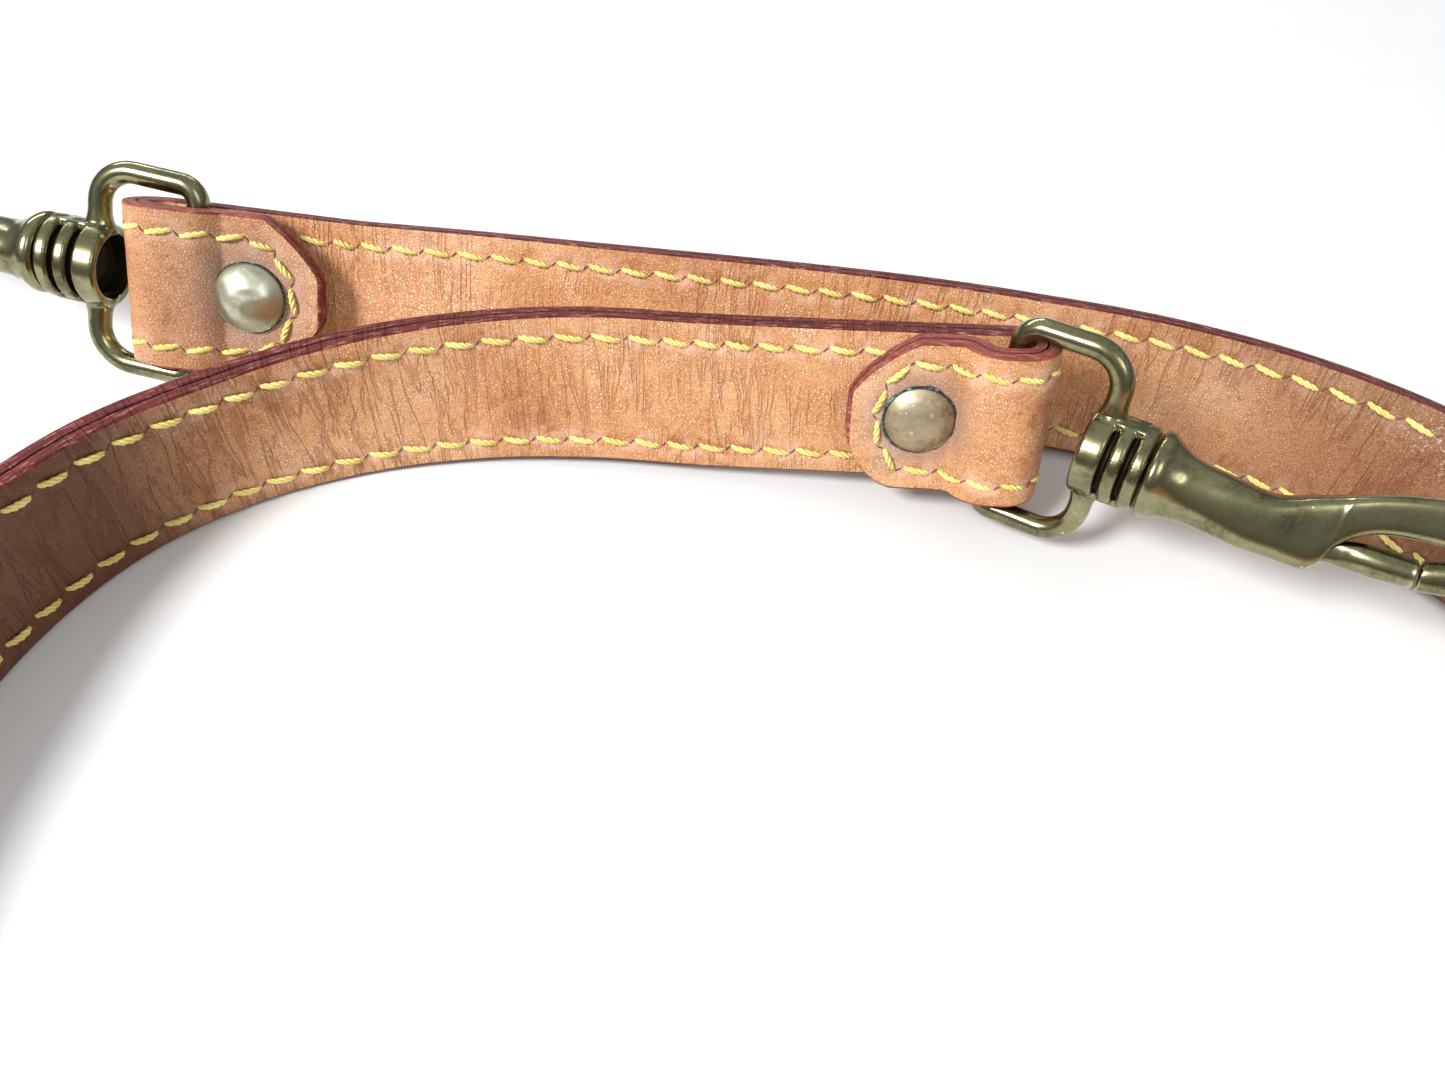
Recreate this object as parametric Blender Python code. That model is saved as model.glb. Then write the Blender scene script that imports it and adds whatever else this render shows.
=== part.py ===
"""Leather shoulder strap with a brass swivel snap hook at each end.

The strap is two plies of leather, saddle stitched round their edge. It stands on its lower edge,
coiled into one open turn whose ends overlap. Each end passes round the bar of a hook's eye, folds
back on itself as a tab, and is held by one rivet. +Z is up and the strap stands on Z = 0.
"""
from math import cos, degrees, pi, radians, sin

import bmesh
import bpy
import numpy as np
from mathutils import Matrix, Vector

MM = 0.001                    # sizes below are in millimetres

# ---- leather ----
STRAP_WIDTH = 28.0
PLY = 2.05                    # thickness of one ply
GAP = 0.3                     # clearance between touching pieces
STRAP = 2 * PLY + GAP         # thickness of the finished strap
STATION_STEP = 9.0            # spacing of cross-sections along the body of the strap
SPAN_SAMPLES = 24             # points worked out between two rows of the route
GUIDE_LENGTH = 12.0           # how far into an end the row lies that steers the body into it
END_LENGTH = 38.0             # straight stretch at each end, measured from the fold

# ---- tab: the end of the strap that is folded back ----
FOLD_RADIUS = 2.5             # inside radius of the fold, round the bar
FOLD_TO_TIP = 34.0            # outermost point of the fold to the tip of the tab
TIP_TAPER = 8.0               # length of the clipped corners
TIP_HALF_WIDTH = 3.0          # half the width of the tab's blunt tip
TIP_CLIP = 1.06               # how fast the clipped corners widen, side for length
TIP_ROUND = 9.0               # radius that blends the clipped corners into the tip
FOLD_OUTER = FOLD_RADIUS + STRAP
STEP_CREST = 2.7              # bend radii of the inner face where the tab steps down
STEP_TROUGH = 5.6
END_FLATS = (-25.0, -18.0, -11.0, -5.0)   # cross-sections between an end's start and its fold
FOLD_STEPS = 8
STEP_BENDS = 3
TAB_FLATS = (0.93, 0.6, 0.27, 0.12, 0.0)  # cross-sections along the tip, as shares of its taper
END_STATIONS = 1 + len(END_FLATS) + FOLD_STEPS + 1 + 2 * (STEP_BENDS + 1) + 2 + len(TAB_FLATS)

# ---- stitching ----
STITCH_INSET = 4.0            # stitch row to the strap's edge
THREAD_RADIUS = 0.45
TIP_STITCHES = ((8.2, 8.3), (5.1, 4.4), (4.6, 0.0), (5.1, -4.4), (8.2, -8.3))  # from tip, height

# ---- rivet ----
RIVET_TO_FOLD = 21.9          # rivet to the outermost point of the fold
CAP_RADIUS = 6.0
CAP_HEIGHT = 2.5
POST_HEAD_RADIUS = 4.6
POST_HEAD_HEIGHT = 1.1
TUBE_RADIUS = 1.9
TUBE_BORE = 1.45
STEM_RADIUS = 1.1
RIVET_HOLE = TUBE_RADIUS + GAP

# ---- eye: a wire loop cast in one with the swivel barrel; X runs from the bar to the hook ----
WIRE_RADIUS = 1.95
EYE_HALF_HEIGHT = 17.1        # wire centre line, so 30 mm between the wires
EYE_LENGTH = 17.4             # bar to the far side of the loop, wire centre lines
BAR_CORNER = 3.1
BARREL_CORNER = 6.2
BARREL_START = 14.6
BARREL_END = 25.4
BARREL_RADIUS = 7.0
GROOVE_RADIUS = 5.9
GROOVE_WIDTH = 0.9
CUP_RADIUS = 5.2
CUP_FLOOR = 19.2
BORE_RADIUS = 2.5

# ---- hook ----
SHANK_RADIUS = BORE_RADIUS - GAP
SHANK_HEAD_RADIUS = 4.2
SHANK_HEAD_START = 17.4
PIVOT_X, PIVOT_Z = 50.8, -2.9  # gate pin, in the hook's own plane
PIN_RADIUS = 0.8
PIN_HALF_LENGTH = 2.7
SLOT_HALF_WIDTH = 1.7
SLOT_START, SLOT_END, SLOT_TOP = 47.8, 58.4, 3.4
SPRING_RADIUS = 1.05
SPRING_WIRE = 0.22
SPRING_TURNS = 5
SPRING_START, SPRING_END = 43.8, 47.1
SPRING_Z = -0.6
CUT_THROUGH = 8.0             # reach of a cutter that goes right through the hook

# The strap's inner face, lower corner: x, y, height, lean in degrees (negative leans outward).
# From the right-hand end round the loop, against the clock, to the left-hand end.
ROUTE = [
    (4.1, 100.35, 2.8, -17), (-15.8, 100.5, 2.1, -16), (-35.6, 98.7, 1.2, -11),
    (-54.8, 93.7, 0.5, -5), (-72.5, 84.6, 0, 0), (-86.9, 70.9, 0, 0), (-96.1, 53.2, 0, 0),
    (-100.0, 33.1, 0, 0), (-100.5, -1.9, 0, 0), (-92.5, -41.9, 0, 0), (-73.5, -77.9, 0, 0),
    (-41.5, -106.9, 0, 0), (-0.5, -124.9, 0, 0), (43.5, -126.9, 0, 0), (85.5, -110.9, 0, 0),
    (119.5, -78.9, 0, 0), (143.5, -38.9, 0, 0), (155.5, 3.1, 0, 0), (157.5, 38.1, 0.8, -8),
    (151.0, 62.1, 1.3, -14), (140.5, 79.1, 1.6, -18), (126.5, 93.6, 1.7, -20),
    (107.5, 104.6, 1.7, -20), (84.5, 111.9, 1.7, -20), (59.2, 115.3, 2.0, -20),
    (39.2, 115.9, 2.8, -21), (19.2, 115.4, 3.7, -22), (-0.8, 114.6, 4.5, -23),
    (-20.8, 113.9, 5.1, -25), (-40.5, 113.6, 5.5, -27),
]

# Each end: lower inner corner of the fold's outermost point, heading along the strap towards the
# hook, rise and lean in degrees, distance of the bar from the fold's centre, length of the slot the
# bar can slide in, space between tab and strap at the rivet, angle of the step down to it, lift of
# the rivet's cap, tilt of the bar in the slot, swing of the eye towards the inner side, roll of the
# hook, and out: which way along the end frame's Y the inner face looks.
ENDS = {
    "right": dict(fold=(63.9, 99.3, 7.4), heading=-0.8, rise=4.2, lean=-16.0, bar_depth=1.25,
                  slot=2.1, tab_gap=0.3, step_angle=62.0, cap_lift=0.3, tilt=6.5, swing=27.0,
                  roll=-15.0, out=-1),
    "left": dict(fold=(-100.7, 111.1, 8.9), heading=183.5, rise=5.0, lean=-28.0, bar_depth=4.2,
                 slot=4.8, tab_gap=2.4, step_angle=40.0, cap_lift=0.8, tilt=-5.0, swing=-6.9,
                 roll=70.0, out=1),
}

COLOURS = {
    "leather": ((0.52, 0.24, 0.10), 0.55, 0.0),
    "lining": ((0.50, 0.24, 0.11), 0.6, 0.0),
    "thread": ((0.72, 0.55, 0.08), 0.6, 0.0),
    "brass": ((0.36, 0.31, 0.13), 0.32, 1.0),
    "rivet_brass": ((0.42, 0.35, 0.22), 0.4, 1.0),
    "spring_steel": ((0.45, 0.45, 0.45), 0.3, 1.0),
}


# ---------------------------------------------------------------- objects and materials

def clear_scene():
    for old in list(bpy.data.objects):
        bpy.data.objects.remove(old, do_unlink=True)


def material(name):
    found = bpy.data.materials.get(name)
    if found:
        return found
    colour, roughness, metallic = COLOURS[name]
    made = bpy.data.materials.new(name)
    made.use_nodes = True
    shader = made.node_tree.nodes["Principled BSDF"]
    shader.inputs["Base Color"].default_value = (*colour, 1.0)
    shader.inputs["Roughness"].default_value = roughness
    shader.inputs["Metallic"].default_value = metallic
    return made


def add_object(name, mesh, finish=None, parent=None):
    made = bpy.data.objects.new(name, mesh)
    bpy.context.collection.objects.link(made)
    if finish and not mesh.materials:
        mesh.materials.append(material(finish))
    if parent:
        made.parent = parent
    return made


def add_empty(name, matrix, parent=None):
    made = bpy.data.objects.new(name, None)
    bpy.context.collection.objects.link(made)
    made.empty_display_size = 0.01
    made.parent = parent
    made.matrix_local = matrix
    return made


def finish_mesh(name, bm, smooth=True):
    """Close a bmesh built in millimetres: faces out, metres, smooth shading."""
    bmesh.ops.recalc_face_normals(bm, faces=bm.faces)
    bmesh.ops.scale(bm, vec=(MM, MM, MM), verts=bm.verts)
    mesh = bpy.data.meshes.new(name)
    bm.to_mesh(mesh)
    bm.free()
    if smooth:
        mesh.shade_smooth()
        mesh.set_sharp_from_angle(angle=radians(35))
    return mesh


def hide_tool(tool):
    tool.hide_render = True
    tool.display_type = 'WIRE'


def boolean(target, tool, operation):
    step = target.modifiers.new(tool.name, 'BOOLEAN')
    step.operation = operation
    step.object = tool
    hide_tool(tool)


# ---------------------------------------------------------------- solids

def loft(name, rings, smooth=True):
    """A closed solid through rings of points, capped at both ends."""
    bm = bmesh.new()
    loops = [[bm.verts.new(point) for point in ring] for ring in rings]
    for first, second in zip(loops, loops[1:]):
        count = len(first)
        for k in range(count):
            bm.faces.new((first[k], first[(k + 1) % count], second[(k + 1) % count], second[k]))
    bm.faces.new(loops[0])
    bm.faces.new(loops[-1])
    return finish_mesh(name, bm, smooth)


def turned(name, profile, segments=24):
    """A solid turned about X from an open profile of (x, radius) that starts and ends on X."""
    bm = bmesh.new()
    outline = [bm.verts.new((x, 0.0, radius)) for x, radius in profile]
    edges = [bm.edges.new(pair) for pair in zip(outline, outline[1:])]
    bmesh.ops.spin(bm, geom=outline + edges, cent=(0, 0, 0), axis=(1, 0, 0), angle=2 * pi,
                   steps=segments, use_merge=True)
    bmesh.ops.remove_doubles(bm, verts=bm.verts, dist=0.001)
    return finish_mesh(name, bm)


def turned_ring(name, profile, segments=24):
    """A ring turned about X from a closed profile of (x, radius) that stays off X."""
    return turned(name, profile + profile[:1], segments)


def cylinder(name, radius, start, end, segments=24):
    return turned(name, [(start, 0.0), (start, radius), (end, radius), (end, 0.0)], segments)


def box(name, low, high):
    bm = bmesh.new()
    bmesh.ops.create_cube(bm, size=1.0)
    size = Vector(high) - Vector(low)
    bmesh.ops.scale(bm, vec=size, verts=bm.verts)
    bmesh.ops.translate(bm, vec=(Vector(high) + Vector(low)) / 2, verts=bm.verts)
    return finish_mesh(name, bm, smooth=False)


def tube(name, path, radius, sides):
    """A round wire along a path that lies in the XZ plane."""
    rings = []
    for index, point in enumerate(path):
        before, after = path[max(index - 1, 0)], path[min(index + 1, len(path) - 1)]
        along = (after - before).normalized()
        across = Vector((-along.z, 0.0, along.x))
        turns = [2 * pi * k / sides for k in range(sides)]
        rings.append([point + across * radius * cos(t) + Vector((0, radius * sin(t), 0))
                      for t in turns])
    return loft(name, rings)


def arc(centre_x, centre_z, radius, start, end, steps):
    """Points of an arc in the XZ plane, angles in degrees from +X towards +Z."""
    turns = [radians(start + (end - start) * k / steps) for k in range(steps + 1)]
    return [Vector((centre_x + radius * cos(t), 0, centre_z + radius * sin(t))) for t in turns]


# ---------------------------------------------------------------- the strap's path

def end_frame(end):
    """Matrix of a strap end in mm: origin at the fold's centre, lower corner of the inner face;
    X towards the hook, Y square to the leather, Z up the width of the strap."""
    heading, rise, lean = (radians(end[k]) for k in ("heading", "rise", "lean"))
    along = Vector((cos(heading) * cos(rise), sin(heading) * cos(rise), sin(rise)))
    inward = Vector((-sin(heading), cos(heading), 0)) * end["out"]
    upright = (Vector((0, 0, 1)) - along * along.z).normalized()
    up = upright * cos(lean) + inward * sin(lean)
    origin = Vector(end["fold"]) - along * FOLD_OUTER
    matrix = Matrix((along, up.cross(along), up)).transposed().to_4x4()
    matrix.translation = origin
    return matrix


def spline(points, samples):
    """Points of a Catmull-Rom curve through rows of numbers, with its first and last rows kept."""
    rows = np.array(points, float)
    padded = np.vstack([2 * rows[0] - rows[1], rows, 2 * rows[-1] - rows[-2]])
    steps = np.linspace(0, 1, samples, endpoint=False)[:, None]
    pieces = []
    for a, b, c, d in zip(padded, padded[1:], padded[2:], padded[3:]):
        pieces.append(0.5 * (2 * b + (c - a) * steps + (2 * a - 5 * b + 4 * c - d) * steps ** 2
                             + (3 * b - a - 3 * c + d) * steps ** 3))
    return np.vstack(pieces + [rows[-1:]])


def body_stations():
    """Cross-section frames (point, outward normal, up) along the body of the strap."""
    inner_end = FOLD_OUTER - END_LENGTH
    rows = []
    for side in ENDS:
        frame = end_frame(ENDS[side])
        guides = [frame @ Vector((x, 0, 0)) for x in (inner_end + GUIDE_LENGTH, inner_end)]
        rows.append([(*point, ENDS[side]["lean"]) for point in guides])
    curve = spline(rows[0] + ROUTE + rows[1][::-1], SPAN_SAMPLES)
    curve = curve[SPAN_SAMPLES:-SPAN_SAMPLES]   # the two outermost spans only steer the curve
    lengths = np.concatenate([[0], np.cumsum(np.linalg.norm(np.diff(curve[:, :3], axis=0), axis=1))])
    count = round(lengths[-1] / STATION_STEP)
    even = np.linspace(0, lengths[-1], count + 1)
    rows = np.stack([np.interp(even, lengths, curve[:, k]) for k in range(4)], axis=1)
    rows[:, 2] = np.maximum(rows[:, 2], 0.0)
    stations = []
    for index, row in enumerate(rows):
        before, after = rows[max(index - 1, 0)], rows[min(index + 1, len(rows) - 1)]
        along = Vector(after[:3] - before[:3]).normalized()
        inward = Vector((-along.y, along.x, 0)).normalized()
        upright = (Vector((0, 0, 1)) - along * along.z).normalized()
        lean = radians(row[3])
        up = upright * cos(lean) + inward * sin(lean)
        outward = upright * sin(lean) - inward * cos(lean)
        stations.append((Vector(row[:3]), outward, up))
    return stations


def end_profile(end):
    """Inner-face path of one end in its own XY plane: points and leather-side normals, from the
    strap round the fold and down the step to the tip of the tab."""
    slot, gap = end["slot"], end["tab_gap"]
    angle = radians(end["step_angle"])
    drop = 2 * FOLD_RADIUS - gap
    slope = (drop - (STEP_CREST + STEP_TROUGH) * (1 - cos(angle))) / sin(angle)
    path = [((x, 0.0), -90.0) for x in (FOLD_OUTER - END_LENGTH, *END_FLATS)]
    for k in range(FOLD_STEPS + 1):
        turn = -90 + 180 * k / FOLD_STEPS
        path.append(((FOLD_RADIUS * cos(radians(turn)),
                      FOLD_RADIUS + FOLD_RADIUS * sin(radians(turn))), turn))
    start, height = -slot - 0.1, 2 * FOLD_RADIUS - STEP_CREST
    for k in range(STEP_BENDS + 1):
        turn = angle * k / STEP_BENDS
        path.append(((start - STEP_CREST * sin(turn), height + STEP_CREST * cos(turn)),
                     90 + degrees(turn)))
    foot = start - (STEP_CREST + STEP_TROUGH) * sin(angle) - slope * cos(angle)
    for k in range(STEP_BENDS + 1):
        turn = angle * (1 - k / STEP_BENDS)
        path.append(((foot + STEP_TROUGH * sin(turn), gap + STEP_TROUGH * (1 - cos(turn))),
                     90 + degrees(turn)))
    tip = FOLD_OUTER - FOLD_TO_TIP
    path += [((tip + TIP_TAPER + x, gap), 90.0) for x in (4.0, 0.4)]
    path += [((tip + TIP_TAPER * share, gap), 90.0) for share in TAB_FLATS]
    return path


def half_width(from_tip):
    """Half the strap's width, a given distance from the tip of a tab."""
    full = STRAP_WIDTH / 2
    if from_tip >= TIP_TAPER:
        return full
    clipped = full - (TIP_TAPER - from_tip) * TIP_CLIP
    rounded = TIP_HALF_WIDTH + (2 * TIP_ROUND * from_tip) ** 0.5
    return max(TIP_HALF_WIDTH, min(full, clipped, rounded))


def strap_stations():
    """Every cross-section from tab tip to tab tip: point, leather-side normal, up, half width."""
    parts = {}
    for side, end in ENDS.items():
        frame = end_frame(end)
        tip = FOLD_OUTER - FOLD_TO_TIP
        parts[side] = []
        path = end_profile(end)
        for index, ((x, y), turn) in enumerate(path):
            point = frame @ Vector((x, y * end["out"], 0))
            normal = frame.to_3x3() @ Vector((cos(radians(turn)), sin(radians(turn)) * end["out"], 0))
            past_fold = index > len(END_FLATS) + 1 + FOLD_STEPS
            wide = half_width(x - tip) if past_fold else STRAP_WIDTH / 2
            parts[side].append((point, normal, frame.to_3x3() @ Vector((0, 0, 1)), wide))
    body = [(p, n, u, STRAP_WIDTH / 2) for p, n, u in body_stations()]
    return parts["right"][::-1] + body[1:-1] + parts["left"]


def ply(name, stations, inner, outer):
    """One ply of leather: a strip between two distances from the inner face. Both faces of every
    ply are split along the same diagonal, so that twisted stretches stay evenly apart."""
    bm = bmesh.new()
    rings = []
    for point, normal, up, wide in stations:
        low = point + up * (STRAP_WIDTH / 2 - wide)
        high = point + up * (STRAP_WIDTH / 2 + wide)
        corners = (low + normal * inner, low + normal * outer,
                   high + normal * outer, high + normal * inner)
        rings.append([bm.verts.new(corner) for corner in corners])
    for first, second in zip(rings, rings[1:]):
        for edge in (0, 2):
            bm.faces.new((first[edge], first[edge + 1], second[edge + 1], second[edge]))
        for bottom, top in ((0, 3), (1, 2)):
            bm.faces.new((first[bottom], first[top], second[top]))
            bm.faces.new((first[bottom], second[top], second[bottom]))
    bm.faces.new(rings[0])
    bm.faces.new(rings[-1])
    return finish_mesh(name, bm, smooth=False)


def thread_curve(name, points, closed=False):
    """A run of thread: a thin round curve through the given points in mm."""
    data = bpy.data.curves.new(name, 'CURVE')
    data.dimensions = '3D'
    data.bevel_depth = THREAD_RADIUS * MM
    data.bevel_resolution = 0
    data.use_fill_caps = True
    run = data.splines.new('POLY')
    run.points.add(len(points) - 1)
    for target, point in zip(run.points, points):
        target.co = (*(point * MM), 1.0)
    run.use_cyclic_u = closed
    made = bpy.data.objects.new(name, data)
    bpy.context.collection.objects.link(made)
    data.materials.append(material("thread"))
    return made


# ---------------------------------------------------------------- rivets

def rivet(side, end, frame, plies):
    """Cap on the tab, tubular post from the back of the strap, and their hole in the leather."""
    x = FOLD_OUTER - RIVET_TO_FOLD
    facing = Matrix.Rotation(pi / 2 * end["out"], 4, 'Z')
    pivot = frame @ Matrix.Translation((x, 0, STRAP_WIDTH / 2)) @ facing
    seat = add_empty(f"{side}_rivet_axis", scaled(pivot))
    back = -STRAP - GAP
    front = end["tab_gap"] + STRAP + GAP + end["cap_lift"]
    dome = [(front + CAP_HEIGHT * (1 - (k / 5) ** 2), CAP_RADIUS * (k / 5) ** 0.9)
            for k in range(5)]
    cap = [(back + 1.0, 0.0), (back + 1.0, STEM_RADIUS), (front, STEM_RADIUS),
           (front, CAP_RADIUS - 0.5), (front + 0.3, CAP_RADIUS)] + dome[::-1]
    post = [(back - POST_HEAD_HEIGHT, 0.0), (back - POST_HEAD_HEIGHT, POST_HEAD_RADIUS - 1.4),
            (back - 0.3, POST_HEAD_RADIUS), (back, POST_HEAD_RADIUS - 0.2), (back, TUBE_RADIUS),
            (front - GAP, TUBE_RADIUS), (front - GAP, TUBE_BORE), (back + 0.6, TUBE_BORE),
            (back + 0.6, 0.0)]
    add_object(f"{side}_rivet_cap", turned(f"{side}_rivet_cap", cap), "rivet_brass", seat)
    add_object(f"{side}_rivet_post", turned(f"{side}_rivet_post", post, 16), "rivet_brass", seat)
    drill = add_object(f"{side}_rivet_drill",
                       cylinder("drill", RIVET_HOLE, back - 3, front + 3, 16), None, seat)
    for layer in plies:
        boolean(layer, drill, 'DIFFERENCE')


# ---------------------------------------------------------------- eye, hook and gate

def barrel_mesh():
    """Swivel barrel: three rings with two grooves, a cup towards the leather and a bore."""
    rings = [(BARREL_START, 18.8), (19.7, 22.1), (23.0, BARREL_END)]
    profile = [(CUP_FLOOR, BORE_RADIUS), (CUP_FLOOR, CUP_RADIUS - 1.2),
               (CUP_FLOOR - 1.0, CUP_RADIUS), (BARREL_START, CUP_RADIUS + 0.5)]
    for start, end in rings:
        profile += [(start, BARREL_RADIUS - 0.5), (start + 0.5, BARREL_RADIUS),
                    (end - 0.5, BARREL_RADIUS), (end, BARREL_RADIUS - 0.5)]
        if end != BARREL_END:
            profile += [(end, GROOVE_RADIUS), (end + GROOVE_WIDTH, GROOVE_RADIUS)]
    profile += [(BARREL_END, BORE_RADIUS)]
    return turned_ring("eye", profile, 24)


def eye_wire_mesh():
    """The loop's wire, from the top of the barrel round the bar to its underside."""
    stub = CUP_RADIUS + 0.6
    top = arc(EYE_LENGTH - BARREL_CORNER, EYE_HALF_HEIGHT - BARREL_CORNER, BARREL_CORNER, 0, 90, 5)
    bar_top = arc(BAR_CORNER, EYE_HALF_HEIGHT - BAR_CORNER, BAR_CORNER, 90, 180, 4)
    half = [Vector((EYE_LENGTH, 0, stub))] + top + bar_top
    lower = [Vector((p.x, 0, -p.z)) for p in half[::-1]]
    return tube("eye_wire", half + lower, WIRE_RADIUS, 10)


def superellipse_ring(centre, across, half_across, half_thick, power, count=16):
    """A ring in the plane of an in-plane direction and Y, squarer as the power grows."""
    ring = []
    for k in range(count):
        turn = 2 * pi * (k + 0.5) / count
        c, s = cos(turn), sin(turn)
        u = abs(c) ** (2 / power) * (1 if c > 0 else -1)
        v = abs(s) ** (2 / power) * (1 if s > 0 else -1)
        ring.append(centre + across * half_across * u + Vector((0, half_thick * v, 0)))
    return ring


# Hook sections on the way down the neck: x, lower and upper edge in z, half thickness, squareness.
NECK = [
    (25.7, -6.6, 6.6, 6.6, 2.0), (26.4, -7.2, 7.2, 7.2, 2.0), (27.6, -7.2, 7.1, 7.0, 2.0),
    (29.2, -6.6, 6.0, 5.9, 2.0), (31.5, -6.1, 4.8, 4.8, 2.2), (34.5, -5.9, 4.2, 4.4, 2.5),
    (38.2, -6.1, 3.8, 4.2, 2.8), (41.6, -6.3, 3.4, 3.9, 3.2), (44.5, -6.2, 3.4, 3.6, 3.4),
    (47.0, -6.1, 4.2, 3.3, 3.6), (49.0, -6.1, 5.1, 3.0, 3.8), (51.0, -6.0, 5.9, 2.8, 4.0),
    (52.4, -5.6, 6.5, 2.7, 4.0), (53.3, -4.4, 6.9, 2.6, 4.0), (53.9, -2.6, 7.2, 2.6, 4.0),
    (54.6, -0.9, 7.5, 2.5, 4.0), (56.0, 0.9, 8.1, 2.4, 4.0), (58.0, 2.5, 8.9, 2.3, 4.0),
    (61.0, 3.6, 9.9, 2.2, 4.0), (64.5, 4.2, 10.8, 2.1, 4.0), (68.5, 4.6, 11.4, 2.1, 3.6),
]
BOWL_CENTRE = (71.6, 4.3)
BOWL_RADIUS = 3.9
NOSE_END = 66.2


def hook_mesh():
    """Peened shank head, shank, flared collar, neck, flat arm, bowl and nose in one casting."""
    up = Vector((0, 0, 1))
    rings = []
    for x, radius in ((SHANK_HEAD_START, SHANK_HEAD_RADIUS - 1.0),
                      (SHANK_HEAD_START + 0.5, SHANK_HEAD_RADIUS),
                      (CUP_FLOOR - GAP, SHANK_HEAD_RADIUS - 0.3), (CUP_FLOOR - GAP, SHANK_RADIUS),
                      (NECK[0][0], SHANK_RADIUS)):
        rings.append(superellipse_ring(Vector((x, 0, 0)), up, radius, radius, 2.0))
    for x, low, high, thick, power in NECK:
        centre = Vector((x, 0, (low + high) / 2))
        rings.append(superellipse_ring(centre, up, (high - low) / 2, thick, power))
    cx, cz = BOWL_CENTRE
    for k in range(8):
        turn = radians(82 - 165 * k / 7)
        across = Vector((cos(turn), 0, sin(turn)))
        half = 3.3 - 0.55 * k / 7
        centre = Vector((cx, 0, cz)) + across * BOWL_RADIUS
        rings.append(superellipse_ring(centre, across, half, 2.1, 3.2 - k * 0.1))
    across = Vector((0.2, 0, -0.98))
    for x, z, half in ((69.9, 0.2, 2.65), (68.0, -0.3, 2.5)):
        rings.append(superellipse_ring(Vector((x, 0, z)), across, half, 2.05, 2.4))
    rings.append(superellipse_ring(Vector((NOSE_END, 0, -0.8)), Vector((0.12, 0, -0.99)), 2.3, 2.0,
                                   2.2))
    return loft("hook", rings)


def cut_hook(hook, frame_empty):
    """Slot for the gate's tongue, seat for its spring, and the pin's hole."""
    slot = add_object(f"{hook.name}_slot_cutter",
                      box("slot", (SLOT_START, -SLOT_HALF_WIDTH, -CUT_THROUGH),
                          (SLOT_END, SLOT_HALF_WIDTH, SLOT_TOP)),
                      None, frame_empty)
    seat = add_object(f"{hook.name}_seat_cutter",
                      cylinder("seat", SPRING_RADIUS + SPRING_WIRE + GAP, SPRING_START - GAP,
                               SLOT_START + 0.9, 12), None, frame_empty)
    seat.location = (0, 0, SPRING_Z * MM)
    hole = add_object(f"{hook.name}_pin_cutter",
                      cylinder("hole", PIN_RADIUS + GAP, -CUT_THROUGH, CUT_THROUGH, 12), None,
                      frame_empty)
    hole.matrix_local = pin_matrix()
    for tool in (slot, seat, hole):
        boolean(hook, tool, 'DIFFERENCE')


def pin_matrix():
    """Places a piece turned about X along the gate pin, in the hook's frame."""
    turned_to_y = Matrix.Rotation(pi / 2, 4, 'Z')
    return Matrix.Translation((PIVOT_X * MM, 0, PIVOT_Z * MM)) @ turned_to_y


# Gate sections in the hook's frame: x, centre z, half height, half thickness, squareness.
GATE = [
    (48.65, -2.9, 0.7, 1.2, 4.0), (49.3, -2.9, 1.6, 1.3, 4.0), (50.8, -2.9, 2.15, 1.3, 4.0),
    (52.4, -2.6, 1.9, 1.3, 4.0), (54.0, -2.1, 1.65, 1.3, 3.6), (55.6, -1.7, 1.95, 1.35, 3.0),
    (57.6, -1.4, 2.3, 1.9, 2.2), (61.0, -1.25, 2.4, 2.2, 2.0), (64.7, -1.0, 2.25, 2.1, 2.0),
]


def gate_mesh():
    """Gate: a tongue in the slot that grows into a round bar; origin on the pin."""
    up = Vector((0, 0, 1))
    origin = Vector((PIVOT_X, 0, PIVOT_Z))
    rings = [superellipse_ring(Vector((x, 0, z)) - origin, up, half, thick, power, 12)
             for x, z, half, thick, power in GATE]
    end = Vector((NOSE_END - 0.45, 0, -0.9)) - origin
    rings.append(superellipse_ring(end, Vector((-0.12, 0, 0.99)), 2.15, 1.9, 2.0, 12))
    return loft("gate", rings)


def spring_mesh():
    """Coil spring behind the gate's tongue, wound about X."""
    turns, per_turn, sides = SPRING_TURNS, 9, 5
    count = turns * per_turn
    rings = []
    for k in range(count + 1):
        turn = 2 * pi * k / per_turn
        radial = Vector((0, cos(turn), sin(turn)))
        x = SPRING_START + SPRING_WIRE + (SPRING_END - SPRING_START - 2 * SPRING_WIRE) * k / count
        centre = Vector((x, 0, 0)) + radial * SPRING_RADIUS
        ring = []
        for j in range(sides):
            around = 2 * pi * j / sides
            ring.append(centre + radial * SPRING_WIRE * cos(around)
                        + Vector((SPRING_WIRE * sin(around), 0, 0)))
        rings.append(ring)
    return loft("gate_spring", rings)


def scaled(matrix):
    """The same placement with its position turned from millimetres into metres."""
    made = matrix.copy()
    made.translation = made.translation * MM
    return made


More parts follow.
